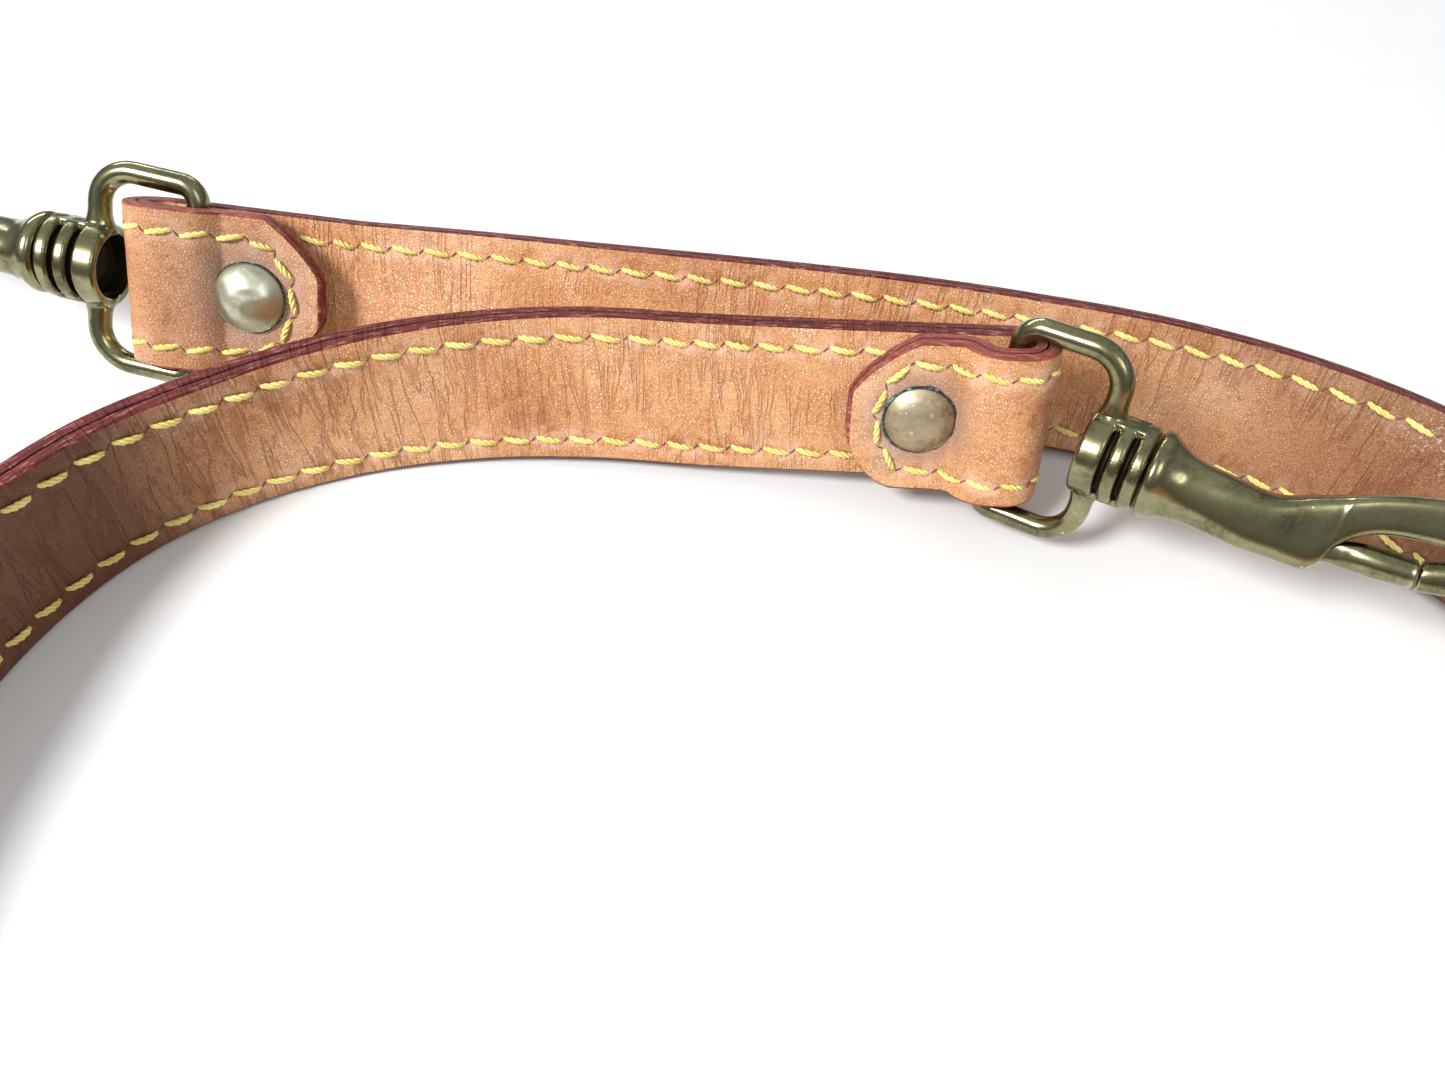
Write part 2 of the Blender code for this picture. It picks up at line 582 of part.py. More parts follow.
def swivel_hook(side, end, frame, meshes):
    """One hook on its eye: eye on the bar's axis, hook on the barrel's, gate on its pin."""
    bar = Vector((-end["bar_depth"], FOLD_RADIUS * end["out"], STRAP_WIDTH / 2))
    turn = (Matrix.Rotation(radians(end["tilt"]), 4, 'Y')
            @ Matrix.Rotation(radians(end["swing"]) * end["out"], 4, 'Z'))
    eye_axis = add_empty(f"{side}_bar_axis", scaled(frame @ Matrix.Translation(bar) @ turn))
    swivel = add_empty(f"{side}_swivel_axis", Matrix.Rotation(radians(end["roll"]), 4, 'X'), eye_axis)
    eye = add_object(f"{side}_eye", meshes["barrel"].copy(), "brass", eye_axis)
    wire = add_object(f"{side}_eye_wire_tool", meshes["wire"], None, eye_axis)
    boolean(eye, wire, 'UNION')
    hook = add_object(f"{side}_hook", meshes["hook"].copy(), "brass", swivel)
    cut_hook(hook, swivel)
    pivot = Matrix.Translation((PIVOT_X * MM, 0, PIVOT_Z * MM))
    gate_axis = add_empty(f"{side}_gate_axis", pivot, swivel)
    gate = add_object(f"{side}_gate", meshes["gate"].copy(), "brass", gate_axis)
    drill = add_object(f"{side}_gate_drill",
                       cylinder("gate_drill", PIN_RADIUS + GAP, -CUT_THROUGH, CUT_THROUGH, 12),
                       None, gate_axis)
    drill.matrix_local = Matrix.Rotation(pi / 2, 4, 'Z')
    boolean(gate, drill, 'DIFFERENCE')
    pin = add_object(f"{side}_gate_pin",
                     cylinder("gate_pin", PIN_RADIUS, -PIN_HALF_LENGTH, PIN_HALF_LENGTH, 12),
                     "brass", swivel)
    pin.matrix_local = pin_matrix()
    spring = add_object(f"{side}_gate_spring", meshes["spring"], "spring_steel", swivel)
    spring.location = (0, 0, SPRING_Z * MM)


# ---------------------------------------------------------------- assembly

def build():
    clear_scene()
    stations = strap_stations()
    inner = add_object("strap_inner_ply", ply("strap_inner_ply", stations, 0.0, PLY), "lining")
    outer = add_object("strap_outer_ply", ply("strap_outer_ply", stations, PLY + GAP, STRAP),
                       "leather")
    add_threads(stations)
    meshes = {"barrel": barrel_mesh(), "wire": eye_wire_mesh(), "hook": hook_mesh(),
              "gate": gate_mesh(), "spring": spring_mesh()}
    for side, end in ENDS.items():
        frame = end_frame(end)
        rivet(side, end, frame, (inner, outer))
        swivel_hook(side, end, frame, meshes)


def add_threads(stations):
    """One closed run of stitching on the outer face, and two open runs on the inner face."""
    lift = STRAP + GAP + THREAD_RADIUS
    tips = [k for k, station in enumerate(stations) if station[3] >= STRAP_WIDTH / 2]
    run = stations[tips[0] + 1:tips[-1]]
    top, bottom = [], []
    for point, normal, up, _ in run:
        face = point + normal * lift
        top.append(face + up * (STRAP_WIDTH - STITCH_INSET))
        bottom.append(face + up * STITCH_INSET)
    first = tip_row(stations[0], stations[tips[0]], lift)
    last = tip_row(stations[-1], stations[tips[-1]], lift)
    thread_curve("outer_face_thread", top + last + bottom[::-1] + first[::-1], closed=True)
    middle = stations[END_STATIONS - 1:1 - END_STATIONS]
    for name, height in (("inner_face_thread_upper", STRAP_WIDTH - STITCH_INSET),
                         ("inner_face_thread_lower", STITCH_INSET)):
        thread_curve(name, [p + u * height - n * (GAP + THREAD_RADIUS) for p, n, u, _ in middle])


def tip_row(tip, corner, lift):
    """Stitching round the tip of a tab, from its top to its bottom."""
    point, normal, up, _ = tip
    back = (corner[0] - point).normalized()
    middle = point + up * STRAP_WIDTH / 2 + normal * lift
    return [middle + back * away + up * height for away, height in TIP_STITCHES]


build()
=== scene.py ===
"""Looks of a leather shoulder strap with a brass swivel snap hook at each end.

The strap stands on its lower edge in one open turn. Sizes are in millimetres, as the design's own
driving dimensions are, and become metres when a mesh is made. Along the strap, a run is measured
from the tip of the right-hand tab to the tip of the left-hand tab.
"""

from math import cos, degrees, pi, radians, sin

import bmesh
import bpy
import numpy as np
from mathutils import Matrix, Vector, kdtree, noise


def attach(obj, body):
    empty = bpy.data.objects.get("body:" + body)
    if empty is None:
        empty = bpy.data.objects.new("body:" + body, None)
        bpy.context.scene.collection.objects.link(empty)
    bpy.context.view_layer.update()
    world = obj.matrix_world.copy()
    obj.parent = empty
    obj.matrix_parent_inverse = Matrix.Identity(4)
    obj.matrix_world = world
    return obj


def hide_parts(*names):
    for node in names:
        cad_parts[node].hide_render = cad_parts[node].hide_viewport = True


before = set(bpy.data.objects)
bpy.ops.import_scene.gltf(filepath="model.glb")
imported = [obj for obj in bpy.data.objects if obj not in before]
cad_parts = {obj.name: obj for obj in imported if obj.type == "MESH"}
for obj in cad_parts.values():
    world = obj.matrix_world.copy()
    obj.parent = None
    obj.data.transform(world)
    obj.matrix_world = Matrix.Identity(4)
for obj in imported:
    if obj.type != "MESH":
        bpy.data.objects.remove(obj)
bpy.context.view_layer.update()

MM = 0.001

# ---- leather, as designed ----
STRAP_WIDTH = 28.0
HALF_WIDTH = STRAP_WIDTH / 2
PLY = 2.05
GAP = 0.3
STRAP = 2 * PLY + GAP
END_LENGTH = 38.0
GUIDE_LENGTH = 12.0
FOLD_RADIUS = 2.5
FOLD_TO_TIP = 34.0
TIP_TAPER = 8.0
TIP_HALF_WIDTH = 3.0
# how each worn tab narrows, below and above its middle: length, roundness of corner and of nose
TIP_CURVE = {
    "right": ((8.6, 1.6, 0.60), (11.5, 1.2, 0.70)),
    "left": ((9.6, 1.15, 0.74), (9.6, 1.15, 0.74)),
}
FOLD_OUTER = FOLD_RADIUS + STRAP
STEP_CREST = 2.7
STEP_TROUGH = 5.6
STITCH_INSET = 4.0
RIVET_TO_FOLD = 21.9
CAP_RADIUS = 6.0
CAP_HEIGHT = 2.5
POST_HEAD_RADIUS = 4.6
POST_HEAD_HEIGHT = 1.1
TUBE_RADIUS = 1.9
TUBE_BORE = 1.45
STEM_RADIUS = 1.1

# ---- metalwork, as designed ----
WIRE_RADIUS = 1.95
EYE_HALF_HEIGHT = 17.1
EYE_LENGTH = 17.4
BAR_CORNER = 3.1
BARREL_CORNER = 6.2
BARREL_START = 14.6
BARREL_END = 25.4
BARREL_RADIUS = 7.0
GROOVE_RADIUS = 5.9
GROOVE_WIDTH = 0.9
CUP_RADIUS = 5.2
CUP_FLOOR = 19.2
BORE_RADIUS = 2.5
SHANK_RADIUS = BORE_RADIUS - GAP
SHANK_HEAD_RADIUS = 4.2
SHANK_HEAD_START = 17.4
PIVOT_X, PIVOT_Z = 50.8, -2.9
PIN_RADIUS, PIN_HALF = 0.8, 2.6
SLOT_HALF_WIDTH = 1.7
SLOT_START, SLOT_END, SLOT_TOP = 47.8, 58.4, 3.4

# ---- looks only ----
ROW_STEP = 1.0                # spacing of the leather's cross-sections
STITCH_PITCH = 5.9
STITCH_HALF = 2.5             # half the length of thread seen between two holes
STITCH_RISE = 0.5             # each stitch climbs by twice this from end to end
RIGHT_FIRST_STITCH = 30.1     # fold to the first stitch's middle, on the strap behind each tab
LEFT_FIRST_STITCH = 25.7
TIP_STITCHES = ((7.6, 7.9), (5.5, 5.0), (4.7, 1.9))     # from a tab's tip, from its middle
PRESS_DEPTH, PRESS_WIDTH = 0.26, 0.75                   # hollow in the leather under each stitch
PILLOW_AT, PILLOW_WIDTH = 1.9, 0.8                      # swelling beside it: low, or high near the top
PILLOW_LOW, PILLOW_HIGH, PILLOW_TOP = 0.08, 0.13, 24.5
LINE_AT, LINE_DEPTH = 1.6, 0.13                         # line scored beside the edge of each tab
INNER_LOWER_SHIFT = -1.1      # how far the inner face's lower stitches lag behind the upper ones
WORN_CAP_HEIGHT = 2.15        # the right-hand rivet's dome, worn lower than it was made
CRUST = {"right": (0.42, 3.0), "left": (0.20, 9.0)}     # thickness and seed of each ring of verdigris
STAIN_REACH = {"right": 3.75, "left": 5.0}              # how far each rivet's stain spreads
STUB = 6.0                    # the wire starts this far from the barrel's axis
PAD_START, PAD_END, PAD_HALF_WIDTH = 16.2, 23.6, 2.4    # flat pads on the barrel's top and bottom
PAD_LOW, PAD_HIGH = 5.0, 7.15
VOXEL = 0.22                  # fineness of the skin that joins wire, barrel and pads

# The strap's inner face, lower corner: x, y, height, lean in degrees (negative leans outward).
ROUTE = [
    (4.1, 100.35, 2.8, -17), (-15.8, 100.5, 2.1, -16), (-35.6, 98.7, 1.2, -11),
    (-54.8, 93.7, 0.5, -5), (-72.5, 84.6, 0, 0), (-86.9, 70.9, 0, 0), (-96.1, 53.2, 0, 0),
    (-100.0, 33.1, 0, 0), (-100.5, -1.9, 0, 0), (-92.5, -41.9, 0, 0), (-73.5, -77.9, 0, 0),
    (-41.5, -106.9, 0, 0), (-0.5, -124.9, 0, 0), (43.5, -126.9, 0, 0), (85.5, -110.9, 0, 0),
    (119.5, -78.9, 0, 0), (143.5, -38.9, 0, 0), (155.5, 3.1, 0, 0), (157.5, 38.1, 0.8, -8),
    (151.0, 62.1, 1.3, -14), (140.5, 79.1, 1.6, -18), (126.5, 93.6, 1.7, -20),
    (107.5, 104.6, 1.7, -20), (84.5, 111.9, 1.7, -20), (59.2, 115.3, 2.0, -20),
    (39.2, 115.9, 2.8, -21), (19.2, 115.4, 3.7, -22), (-0.8, 114.6, 4.5, -23),
    (-20.8, 113.9, 5.1, -25), (-40.5, 113.6, 5.5, -27),
]
ENDS = {
    "right": dict(fold=(63.9, 99.3, 7.4), heading=-0.8, rise=4.2, lean=-16.0, bar_depth=1.25,
                  slot=2.1, tab_gap=0.3, step_angle=62.0, cap_lift=0.3, tilt=6.5, swing=27.0,
                  roll=-15.0, out=-1),
    "left": dict(fold=(-100.7, 111.1, 8.9), heading=183.5, rise=5.0, lean=-28.0, bar_depth=4.2,
                 slot=4.8, tab_gap=2.4, step_angle=40.0, cap_lift=0.8, tilt=-5.0, swing=-6.9,
                 roll=70.0, out=1),
}


# ==== the strap's path ====

def leaning(along, inward, lean):
    """Up the strap's width and outward from its inner face, where it leans by an angle."""
    upright = (Vector((0, 0, 1)) - along * along.z).normalized()
    return upright * cos(lean) + inward * sin(lean), upright * sin(lean) - inward * cos(lean)


def end_frame(end):
    """Matrix of a strap end in mm: origin at the fold's centre, lower corner of the inner face;
    X towards the hook, Y square to the leather, Z up the width of the strap."""
    heading, rise, lean = (radians(end[k]) for k in ("heading", "rise", "lean"))
    along = Vector((cos(heading) * cos(rise), sin(heading) * cos(rise), sin(rise)))
    inward = Vector((-sin(heading), cos(heading), 0)) * end["out"]
    up, _ = leaning(along, inward, lean)
    matrix = Matrix((along, up.cross(along), up)).transposed().to_4x4()
    matrix.translation = Vector(end["fold"]) - along * FOLD_OUTER
    return matrix


def spline(points, samples):
    """Points of a Catmull-Rom curve through rows of numbers, with its first and last rows kept."""
    rows = np.array(points, float)
    padded = np.vstack([2 * rows[0] - rows[1], rows, 2 * rows[-1] - rows[-2]])
    steps = np.linspace(0, 1, samples, endpoint=False)[:, None]
    pieces = []
    for a, b, c, d in zip(padded, padded[1:], padded[2:], padded[3:]):
        pieces.append(0.5 * (2 * b + (c - a) * steps + (2 * a - 5 * b + 4 * c - d) * steps ** 2
                             + (3 * b - a - 3 * c + d) * steps ** 3))
    return np.vstack(pieces[:len(rows) - 1] + [rows[-1:]])


def evenly(rows, step):
    """The same polyline with evenly spaced points."""
    lengths = running_length(rows[:, :3])
    return between(np.linspace(0, lengths[-1], round(lengths[-1] / step) + 1), lengths, rows).T


def running_length(points):
    return np.concatenate([[0], np.cumsum(np.linalg.norm(np.diff(points, axis=0), axis=1))])


def unit(vector):
    return vector / np.linalg.norm(vector)


def between(at, places, rows):
    """Columns of numbers at one or more places, interpolated between rows at known places."""
    return np.array([np.interp(at, places, column) for column in rows.T])


def body_stations():
    """Cross-section frames (point, outward normal, up) along the body of the strap."""
    inner_end = FOLD_OUTER - END_LENGTH
    rows = []
    for side in ENDS:
        place = end_frame(ENDS[side])
        guides = [place @ Vector((x, 0, 0)) for x in (inner_end + GUIDE_LENGTH, inner_end)]
        rows.append([(*point, ENDS[side]["lean"]) for point in guides])
    samples = 40
    curve = spline(rows[0] + ROUTE + rows[1][::-1], samples)[samples:-samples]
    curve = evenly(curve, ROW_STEP)
    curve[:, 2] = np.maximum(curve[:, 2], 0.0)
    stations = []
    for index, row in enumerate(curve):
        before, after = curve[max(index - 2, 0)], curve[min(index + 2, len(curve) - 1)]
        along = Vector(after[:3] - before[:3]).normalized()
        inward = Vector((-along.y, along.x, 0)).normalized()
        up, outward = leaning(along, inward, radians(row[3]))
        stations.append((Vector(row[:3]), outward, up))
    return stations


def end_profile(end):
    """Inner-face path of one end in its own XY plane, as (x, y, normal's angle, on the tab)."""
    slot, gap = end["slot"], end["tab_gap"]
    angle = radians(end["step_angle"])
    drop = 2 * FOLD_RADIUS - gap
    slope = (drop - (STEP_CREST + STEP_TROUGH) * (1 - cos(angle))) / sin(angle)
    path = [(x, 0.0, -90.0, 0) for x in np.linspace(FOLD_OUTER - END_LENGTH, -0.8, 31)]
    for k in range(25):
        turn = -90 + 180 * k / 24
        path.append((FOLD_RADIUS * cos(radians(turn)), FOLD_RADIUS * (1 + sin(radians(turn))), turn, 1))
    start, height = -slot - 0.1, 2 * FOLD_RADIUS - STEP_CREST
    path += [(x, 2 * FOLD_RADIUS, 90.0, 1) for x in np.arange(-0.9, start, -0.9)]
    for k in range(9):
        turn = angle * k / 8
        path.append((start - STEP_CREST * sin(turn), height + STEP_CREST * cos(turn),
                     90 + degrees(turn), 1))
    foot = start - (STEP_CREST + STEP_TROUGH) * sin(angle) - slope * cos(angle)
    for k in range(9):
        turn = angle * (1 - k / 8)
        path.append((foot + STEP_TROUGH * sin(turn), gap + STEP_TROUGH * (1 - cos(turn)),
                     90 + degrees(turn), 1))
    tip = FOLD_OUTER - FOLD_TO_TIP
    path += [(x, gap, 90.0, 1) for x in np.arange(foot - 0.7, tip + TIP_TAPER + 0.3, -0.7)]
    path += [(tip + TIP_TAPER * (1 - k / 14) ** 1.5, gap, 90.0, 1) for k in range(15)]
    return path


def half_widths(side, from_tip):
    """The strap's width below and above its middle, a given distance from the tip of a tab."""
    widths = []
    for reach, corner, nose in TIP_CURVE[side]:
        share = 1 - min(max(from_tip, 0.0) / reach, 1.0)
        widths.append(TIP_HALF_WIDTH + (HALF_WIDTH - TIP_HALF_WIDTH) * (1 - share ** corner) ** nose)
    return widths


class Strap:
    """Dense cross-sections from tab tip to tab tip, with their run along the strap."""

    def __init__(self):
        parts, full = {}, [HALF_WIDTH, HALF_WIDTH]
        tip = FOLD_OUTER - FOLD_TO_TIP
        for side, end in ENDS.items():
            place = end_frame(end)
            turn_only = place.to_3x3()
            up = turn_only @ Vector((0, 0, 1))
            parts[side] = []
            for x, y, turn, on_tab in end_profile(end):
                normal = turn_only @ Vector((cos(radians(turn)), sin(radians(turn)) * end["out"], 0))
                wide = half_widths(side, x - tip) if on_tab and turn >= 90 else full
                parts[side].append((place @ Vector((x, y * end["out"], 0)), normal, up, wide, on_tab))
        body = [(*station, full, 0) for station in body_stations()]
        rows = parts["right"][::-1] + body[1:-1] + parts["left"]
        self.point, self.normal, self.up, self.wide, self.tab = map(np.array, zip(*rows))
        inner = np.diff(running_length(self.point))
        outer = np.diff(running_length(self.point + self.normal * STRAP))
        on_tab = (self.tab[1:] + self.tab[:-1]) > 0
        self.run = np.concatenate([[0], np.cumsum(np.where(on_tab, outer, inner))])
        off_tab = self.run[self.tab == 0]
        self.right_fold, self.left_fold = off_tab[0], off_tab[-1]

    def at(self, run, height, depth):
        """A point at a run, at a height on the strap's width and a depth from the inner face."""
        point, normal, up = (between(run, self.run, rows) for rows in (self.point, self.normal, self.up))
        normal = unit(normal)
        return point + up * height + normal * depth, normal, up


strap = Strap()


# ==== meshes ====

def link(name, data):
    """A new object in the scene that shows a mesh, a light or a camera."""
    made = bpy.data.objects.new(name, data)
    bpy.context.scene.collection.objects.link(made)
    return made


def make_object(name, vertices, faces, material, smooth=True, sharp=None):
    """A mesh object from points in millimetres."""
    mesh = bpy.data.meshes.new(name)
    mesh.from_pydata([tuple(v) for v in np.asarray(vertices) * MM], [], faces)
    mesh.update()
    if smooth:
        mesh.shade_smooth()
        if sharp:
            mesh.set_sharp_from_angle(angle=radians(sharp))
    mesh.materials.append(material)
    return link(name, mesh)


def tube_faces(rings, count, first=0, ends="capped"):
    """Quads of a tube whose rings follow each other in the list of vertices. Its ends are capped or
    open, or its last ring is joined to its first."""
    starts = [first + r * count for r in range(rings)]
    if ends == "joined":
        starts.append(first)
    faces = []
    for a, b in zip(starts, starts[1:]):
        faces += [(a + k, a + (k + 1) % count, b + (k + 1) % count, b + k) for k in range(count)]
    if ends == "capped":
        faces.append(tuple(first + k for k in range(count))[::-1])
        faces.append(tuple(starts[-1] + k for k in range(count)))
    return faces


def paint_points(made, name, values):
    """Stores one number on each vertex for the materials to read."""
    layer = made.data.attributes.new(name, 'FLOAT', 'POINT')
    layer.data.foreach_set("value", values.astype(np.float32))


def turns(count):
    return [2 * pi * k / count for k in range(count)]


def face_out(made):
    """Turns all faces of a closed mesh outwards."""
    bm = bmesh.new()
    bm.from_mesh(made.data)
    bmesh.ops.recalc_face_normals(bm, faces=bm.faces)
    bm.to_mesh(made.data)
    bm.free()
    return made


# ==== materials ====

class Shader:
    """A node material with a Principled shader, and short ways to wire it."""

    def __init__(self, name):
        self.material = bpy.data.materials.new(name)
        self.material.use_nodes = True
        self.tree = self.material.node_tree
        self.principled = self.tree.nodes["Principled BSDF"]

    def feed(self, socket, value):
        """Links an output to a socket, or stores a value in it."""
        if isinstance(value, bpy.types.NodeSocket):
            self.tree.links.new(value, socket)
        elif isinstance(value, tuple) and len(value) == 3 and socket.type == 'RGBA':
            socket.default_value = (*value, 1.0)
        else:
            socket.default_value = value

    def node(self, kind, sockets=(), **settings):
        """A node with its settings made and its sockets, given by name or number, fed."""
        made = self.tree.nodes.new("ShaderNode" + kind)
        for key, value in settings.items():
            setattr(made, key, value)
        for key, value in dict(sockets).items():
            self.feed(made.inputs[key], value)
        return made

    def set(self, **sockets):
        for key, value in sockets.items():
            self.feed(self.principled.inputs[key.replace("_", " ")], value)

    def math(self, operation, a, b=0.0):
        return self.node("Math", enumerate((a, b)), operation=operation).outputs[0]

    def plus(self, a, b):
        return self.math('ADD', a, b)

    def minus(self, a, b):
        return self.math('SUBTRACT', a, b)

    def times(self, a, b):
        return self.math('MULTIPLY', a, b)

    def mix(self, factor, a, b):
        return self.node("Mix", {0: factor, 6: a, 7: b}, data_type='RGBA').outputs[2]

    def steps(self, value, low, high, to_low=0.0, to_high=1.0):
        sockets = enumerate((value, low, high, to_low, to_high))
        return self.node("MapRange", sockets, interpolation_type='SMOOTHSTEP').outputs[0]

    def place(self):
        return self.node("TexCoord").outputs["Object"]

    def attribute(self, name):
        return self.node("Attribute", attribute_name=name).outputs["Fac"]

    def scaled(self, vector, scale):
        return self.node("Mapping", {"Vector": vector, "Scale": scale}).outputs[0]

    def noise(self, vector, scale, detail=2.0, roughness=0.5, distortion=0.0):
        sockets = {"Vector": vector, "Scale": scale, "Detail": detail, "Roughness": roughness,
                   "Distortion": distortion}
        return self.node("TexNoise", sockets).outputs[0]

    def cells(self, vector, scale, feature='F1'):
        sockets = {"Vector": vector, "Scale": scale}
        return self.node("TexVoronoi", sockets, feature=feature).outputs["Distance"]

    def bump(self, height, strength, distance, normal=None):
        sockets = {"Strength": strength, "Distance": distance, "Height": height}
        if normal is not None:
            sockets["Normal"] = normal
        return self.node("Bump", sockets).outputs[0]


def leather(name, light, middle, dark, gloss):
    """Vegetable-tanned leather: pebbled grain, cross creases, worn spots, stains, painted shade and sheen,
    painted edges.
    """
    s = Shader(name)
    place = s.place()
    flat = s.node("UVMap", uv_map="strap").outputs[0]
    tab = s.attribute("tab")
    # colour of the grain side
    cloud = s.noise(place, 42, 3, 0.6)
    mottle = s.noise(place, 380, 3, 0.65)
    fine = s.noise(place, 2300, 3, 0.65)
    tone = s.plus(s.times(cloud, 0.50), s.times(mottle, 0.35))
    tone = s.plus(tone, s.times(fine, 0.35))
    colour = s.mix(s.steps(tone, 0.46, 0.60), dark, middle)
    colour = s.mix(s.steps(tone, 0.58, 0.74), colour, light)
    # pores between pebbles of about half a millimetre
    pore = s.steps(s.cells(place, 1900, 'DISTANCE_TO_EDGE'), 0.0, 0.32)
    deep_pore = s.times(s.minus(1.0, pore), s.steps(mottle, 0.35, 0.62, 0.35, 1.0))
    # broken creases that cross the strap
    lines = s.noise(s.scaled(flat, (360.0, 42.0, 1.0)), 1.0, 3, 0.6, 0.7)
    crease = s.steps(s.math('ABSOLUTE', s.minus(lines, 0.5)), 0.0, 0.060, 1.0, 0.0)
    patch = s.steps(s.noise(flat, 55, 2), 0.40, 0.58, 0.0, 0.75)
    patch = s.math('MAXIMUM', patch, s.attribute("bent"))
    crease = s.times(s.times(crease, patch), s.minus(1.0, tab))
    # rubbed pale beside the stitches, white specks of painted sheen, and grey from the rivets' metal
    rub = s.times(s.attribute("stitch"), s.steps(s.noise(place, 300, 2), 0.44, 0.62))
    painted_sheen = s.times(s.attribute("painted_sheen"), s.steps(s.noise(place, 1500, 3, 0.7), 0.54, 0.66))
    stain = s.times(s.attribute("stain"), s.steps(cloud, 0.2, 0.6, 0.75, 1.0))
    for mask, share, tint in ((deep_pore, 0.85, dark), (crease, 0.62, dark), (rub, 0.50, (0.80, 0.52, 0.40)),
                              # painted shade, with some darkening of age, where the strap turns from the
                              # light and in the hook's shadow
                              (s.attribute("painted_shade_and_age"), 0.90, (0.090, 0.024, 0.008)),
                              # white specks of painted sheen
                              (painted_sheen, 0.8, (0.93, 0.80, 0.74))):
        colour = s.mix(s.times(mask, share), colour, tint)
    colour = s.mix(stain, colour, (0.25, 0.175, 0.16))
    # painted edges: burgundy on the strap and browner on the tabs, worn through in long flecks
    along, up, _ = s.node("SeparateXYZ", {0: flat}).outputs
    edge_place = s.node("CombineXYZ", {0: along, 1: s.attribute("deep"), 2: up}).outputs[0]
    coat = s.attribute("edge")
    edge = s.plus(coat, s.times(s.noise(place, 1100, 2), 0.35))
    edge = s.steps(edge, 0.60, 0.80)
    fleck = s.steps(s.noise(s.scaled(edge_place, (380.0, 2100.0, 1400.0)), 1.0, 3, 0.6), 0.55, 0.66)
    streak = s.steps(s.noise(s.scaled(edge_place, (160.0, 2600.0, 900.0)), 1.0, 2), 0.42, 0.62)
    paint = s.mix(tab, (0.15, 0.030, 0.027), (0.29, 0.070, 0.052))
    under = s.mix(tab, (0.045, 0.010, 0.010), (0.10, 0.022, 0.018))
    paint = s.mix(s.times(streak, 0.65), paint, under)
    worn = s.mix(tab, (0.50, 0.22, 0.18), (0.58, 0.30, 0.23))
    paint = s.mix(s.times(fleck, 0.55), paint, worn)
    # near black in the seam between the plies: painted shade in the groove
    paint = s.mix(s.steps(coat, 1.1, 1.8), paint, (0.020, 0.008, 0.008))
    colour = s.mix(edge, colour, paint)
    s.set(Base_Color=colour, Roughness=s.steps(tone, 0.4, 0.8, gloss + 0.08, gloss - 0.08))
    s.set(Specular_IOR_Level=s.steps(edge, 0.0, 1.0, 0.32, 0.10))
    s.set(Coat_Weight=0.04, Coat_Roughness=0.38)
    grain = s.plus(s.times(pore, 0.7), s.times(fine, 0.6))
    normal = s.bump(grain, 0.60, 0.00014)
    normal = s.bump(crease, 0.8, -0.00030, normal)
    s.set(Normal=s.bump(mottle, 0.35, 0.0003, normal))
    return s.material


def thread_material():
    s = Shader("waxed_thread")
    place = s.place()
    wear = s.noise(place, 150, 3, 0.6)
    fibre = s.noise(place, 5200, 2, 0.6)
    colour = s.mix(s.steps(wear, 0.35, 0.7), (0.74, 0.56, 0.10), (0.94, 0.82, 0.24))
    colour = s.mix(s.times(fibre, 0.5), colour, (0.98, 0.90, 0.45))
    s.set(Base_Color=colour, Roughness=0.62, Sheen_Weight=0.15, Normal=s.bump(fibre, 0.4, 0.00006))
    return s.material


def slit_shade_material():
    s = Shader("awl_hole_shade")
    # painted shade of the awl hole; this noise only varies its darkness at random
    grime = s.noise(s.place(), 1800, 2)
    s.set(Base_Color=s.mix(grime, (0.09, 0.030, 0.013), (0.20, 0.08, 0.035)), Roughness=0.85)
    return s.material


def brass(name, low, middle, high, rough_low=0.15, rough_high=0.30, pitted=0.12):
    """Old cast brass: dark patina with a soft sheen, rubbed bright on edges, black in recesses."""
    s = Shader(name)
    place = s.place()
    pointiness = s.node("NewGeometry").outputs["Pointiness"]
    cloud = s.noise(place, 120, 4, 0.6)
    speck = s.noise(place, 1300, 3, 0.65)
    tone = s.plus(s.times(cloud, 0.70), s.times(speck, 0.30))
    colour = s.mix(s.steps(tone, 0.30, 0.58), low, middle)
    colour = s.mix(s.times(s.steps(tone, 0.55, 0.80), 0.5), colour, high)
    colour = s.mix(s.times(s.steps(pointiness, 0.52, 0.58), 0.8), colour, high)
    colour = s.mix(s.steps(pointiness, 0.485, 0.43), colour, low)
    grime = s.attribute("grime")
    colour = s.mix(s.times(grime, 0.92), colour, (0.012, 0.009, 0.005))
    pits = s.steps(s.cells(place, 900), 0.04, 0.20)
    scratches = s.noise(s.scaled(place, (300.0, 2600.0, 900.0)), 1.0, 2, 0.5)
    rough = s.steps(tone, 0.3, 0.7, rough_high, rough_low)
    s.set(Base_Color=colour, Metallic=1.0)
    s.set(Roughness=s.plus(rough, s.times(grime, 0.4)))
    normal = s.bump(pits, pitted, 0.00008)
    normal = s.bump(scratches, 0.06, 0.00006, normal)
    s.set(Normal=s.bump(cloud, 0.12, 0.0004, normal))
    return s.material


def verdigris_material():
    s = Shader("verdigris")
    place = s.place()
    grain = s.noise(place, 1300, 3, 0.7)
    colour = s.mix(s.steps(grain, 0.50, 0.66), (0.010, 0.022, 0.030), (0.14, 0.32, 0.35))
    s.set(Base_Color=colour, Roughness=0.8, Normal=s.bump(grain, 0.7, 0.0002))
    return s.material


def steel_material():
    s = Shader("spring_steel")
    grain = s.noise(s.place(), 2400, 2)
    s.set(Base_Color=s.mix(grain, (0.30, 0.30, 0.30), (0.55, 0.54, 0.52)), Metallic=1.0)
    s.set(Roughness=s.steps(grain, 0.3, 0.7, 0.25, 0.45))
    return s.material


def floor_material():
    s = Shader("pale_floor")
    grain = s.noise(s.place(), 60, 3)
    s.set(Base_Color=s.mix(grain, (0.74, 0.74, 0.74), (0.78, 0.78, 0.78)))
    s.set(Roughness=0.9, Specular_IOR_Level=0.1)
    return s.material


# ==== stitching ====

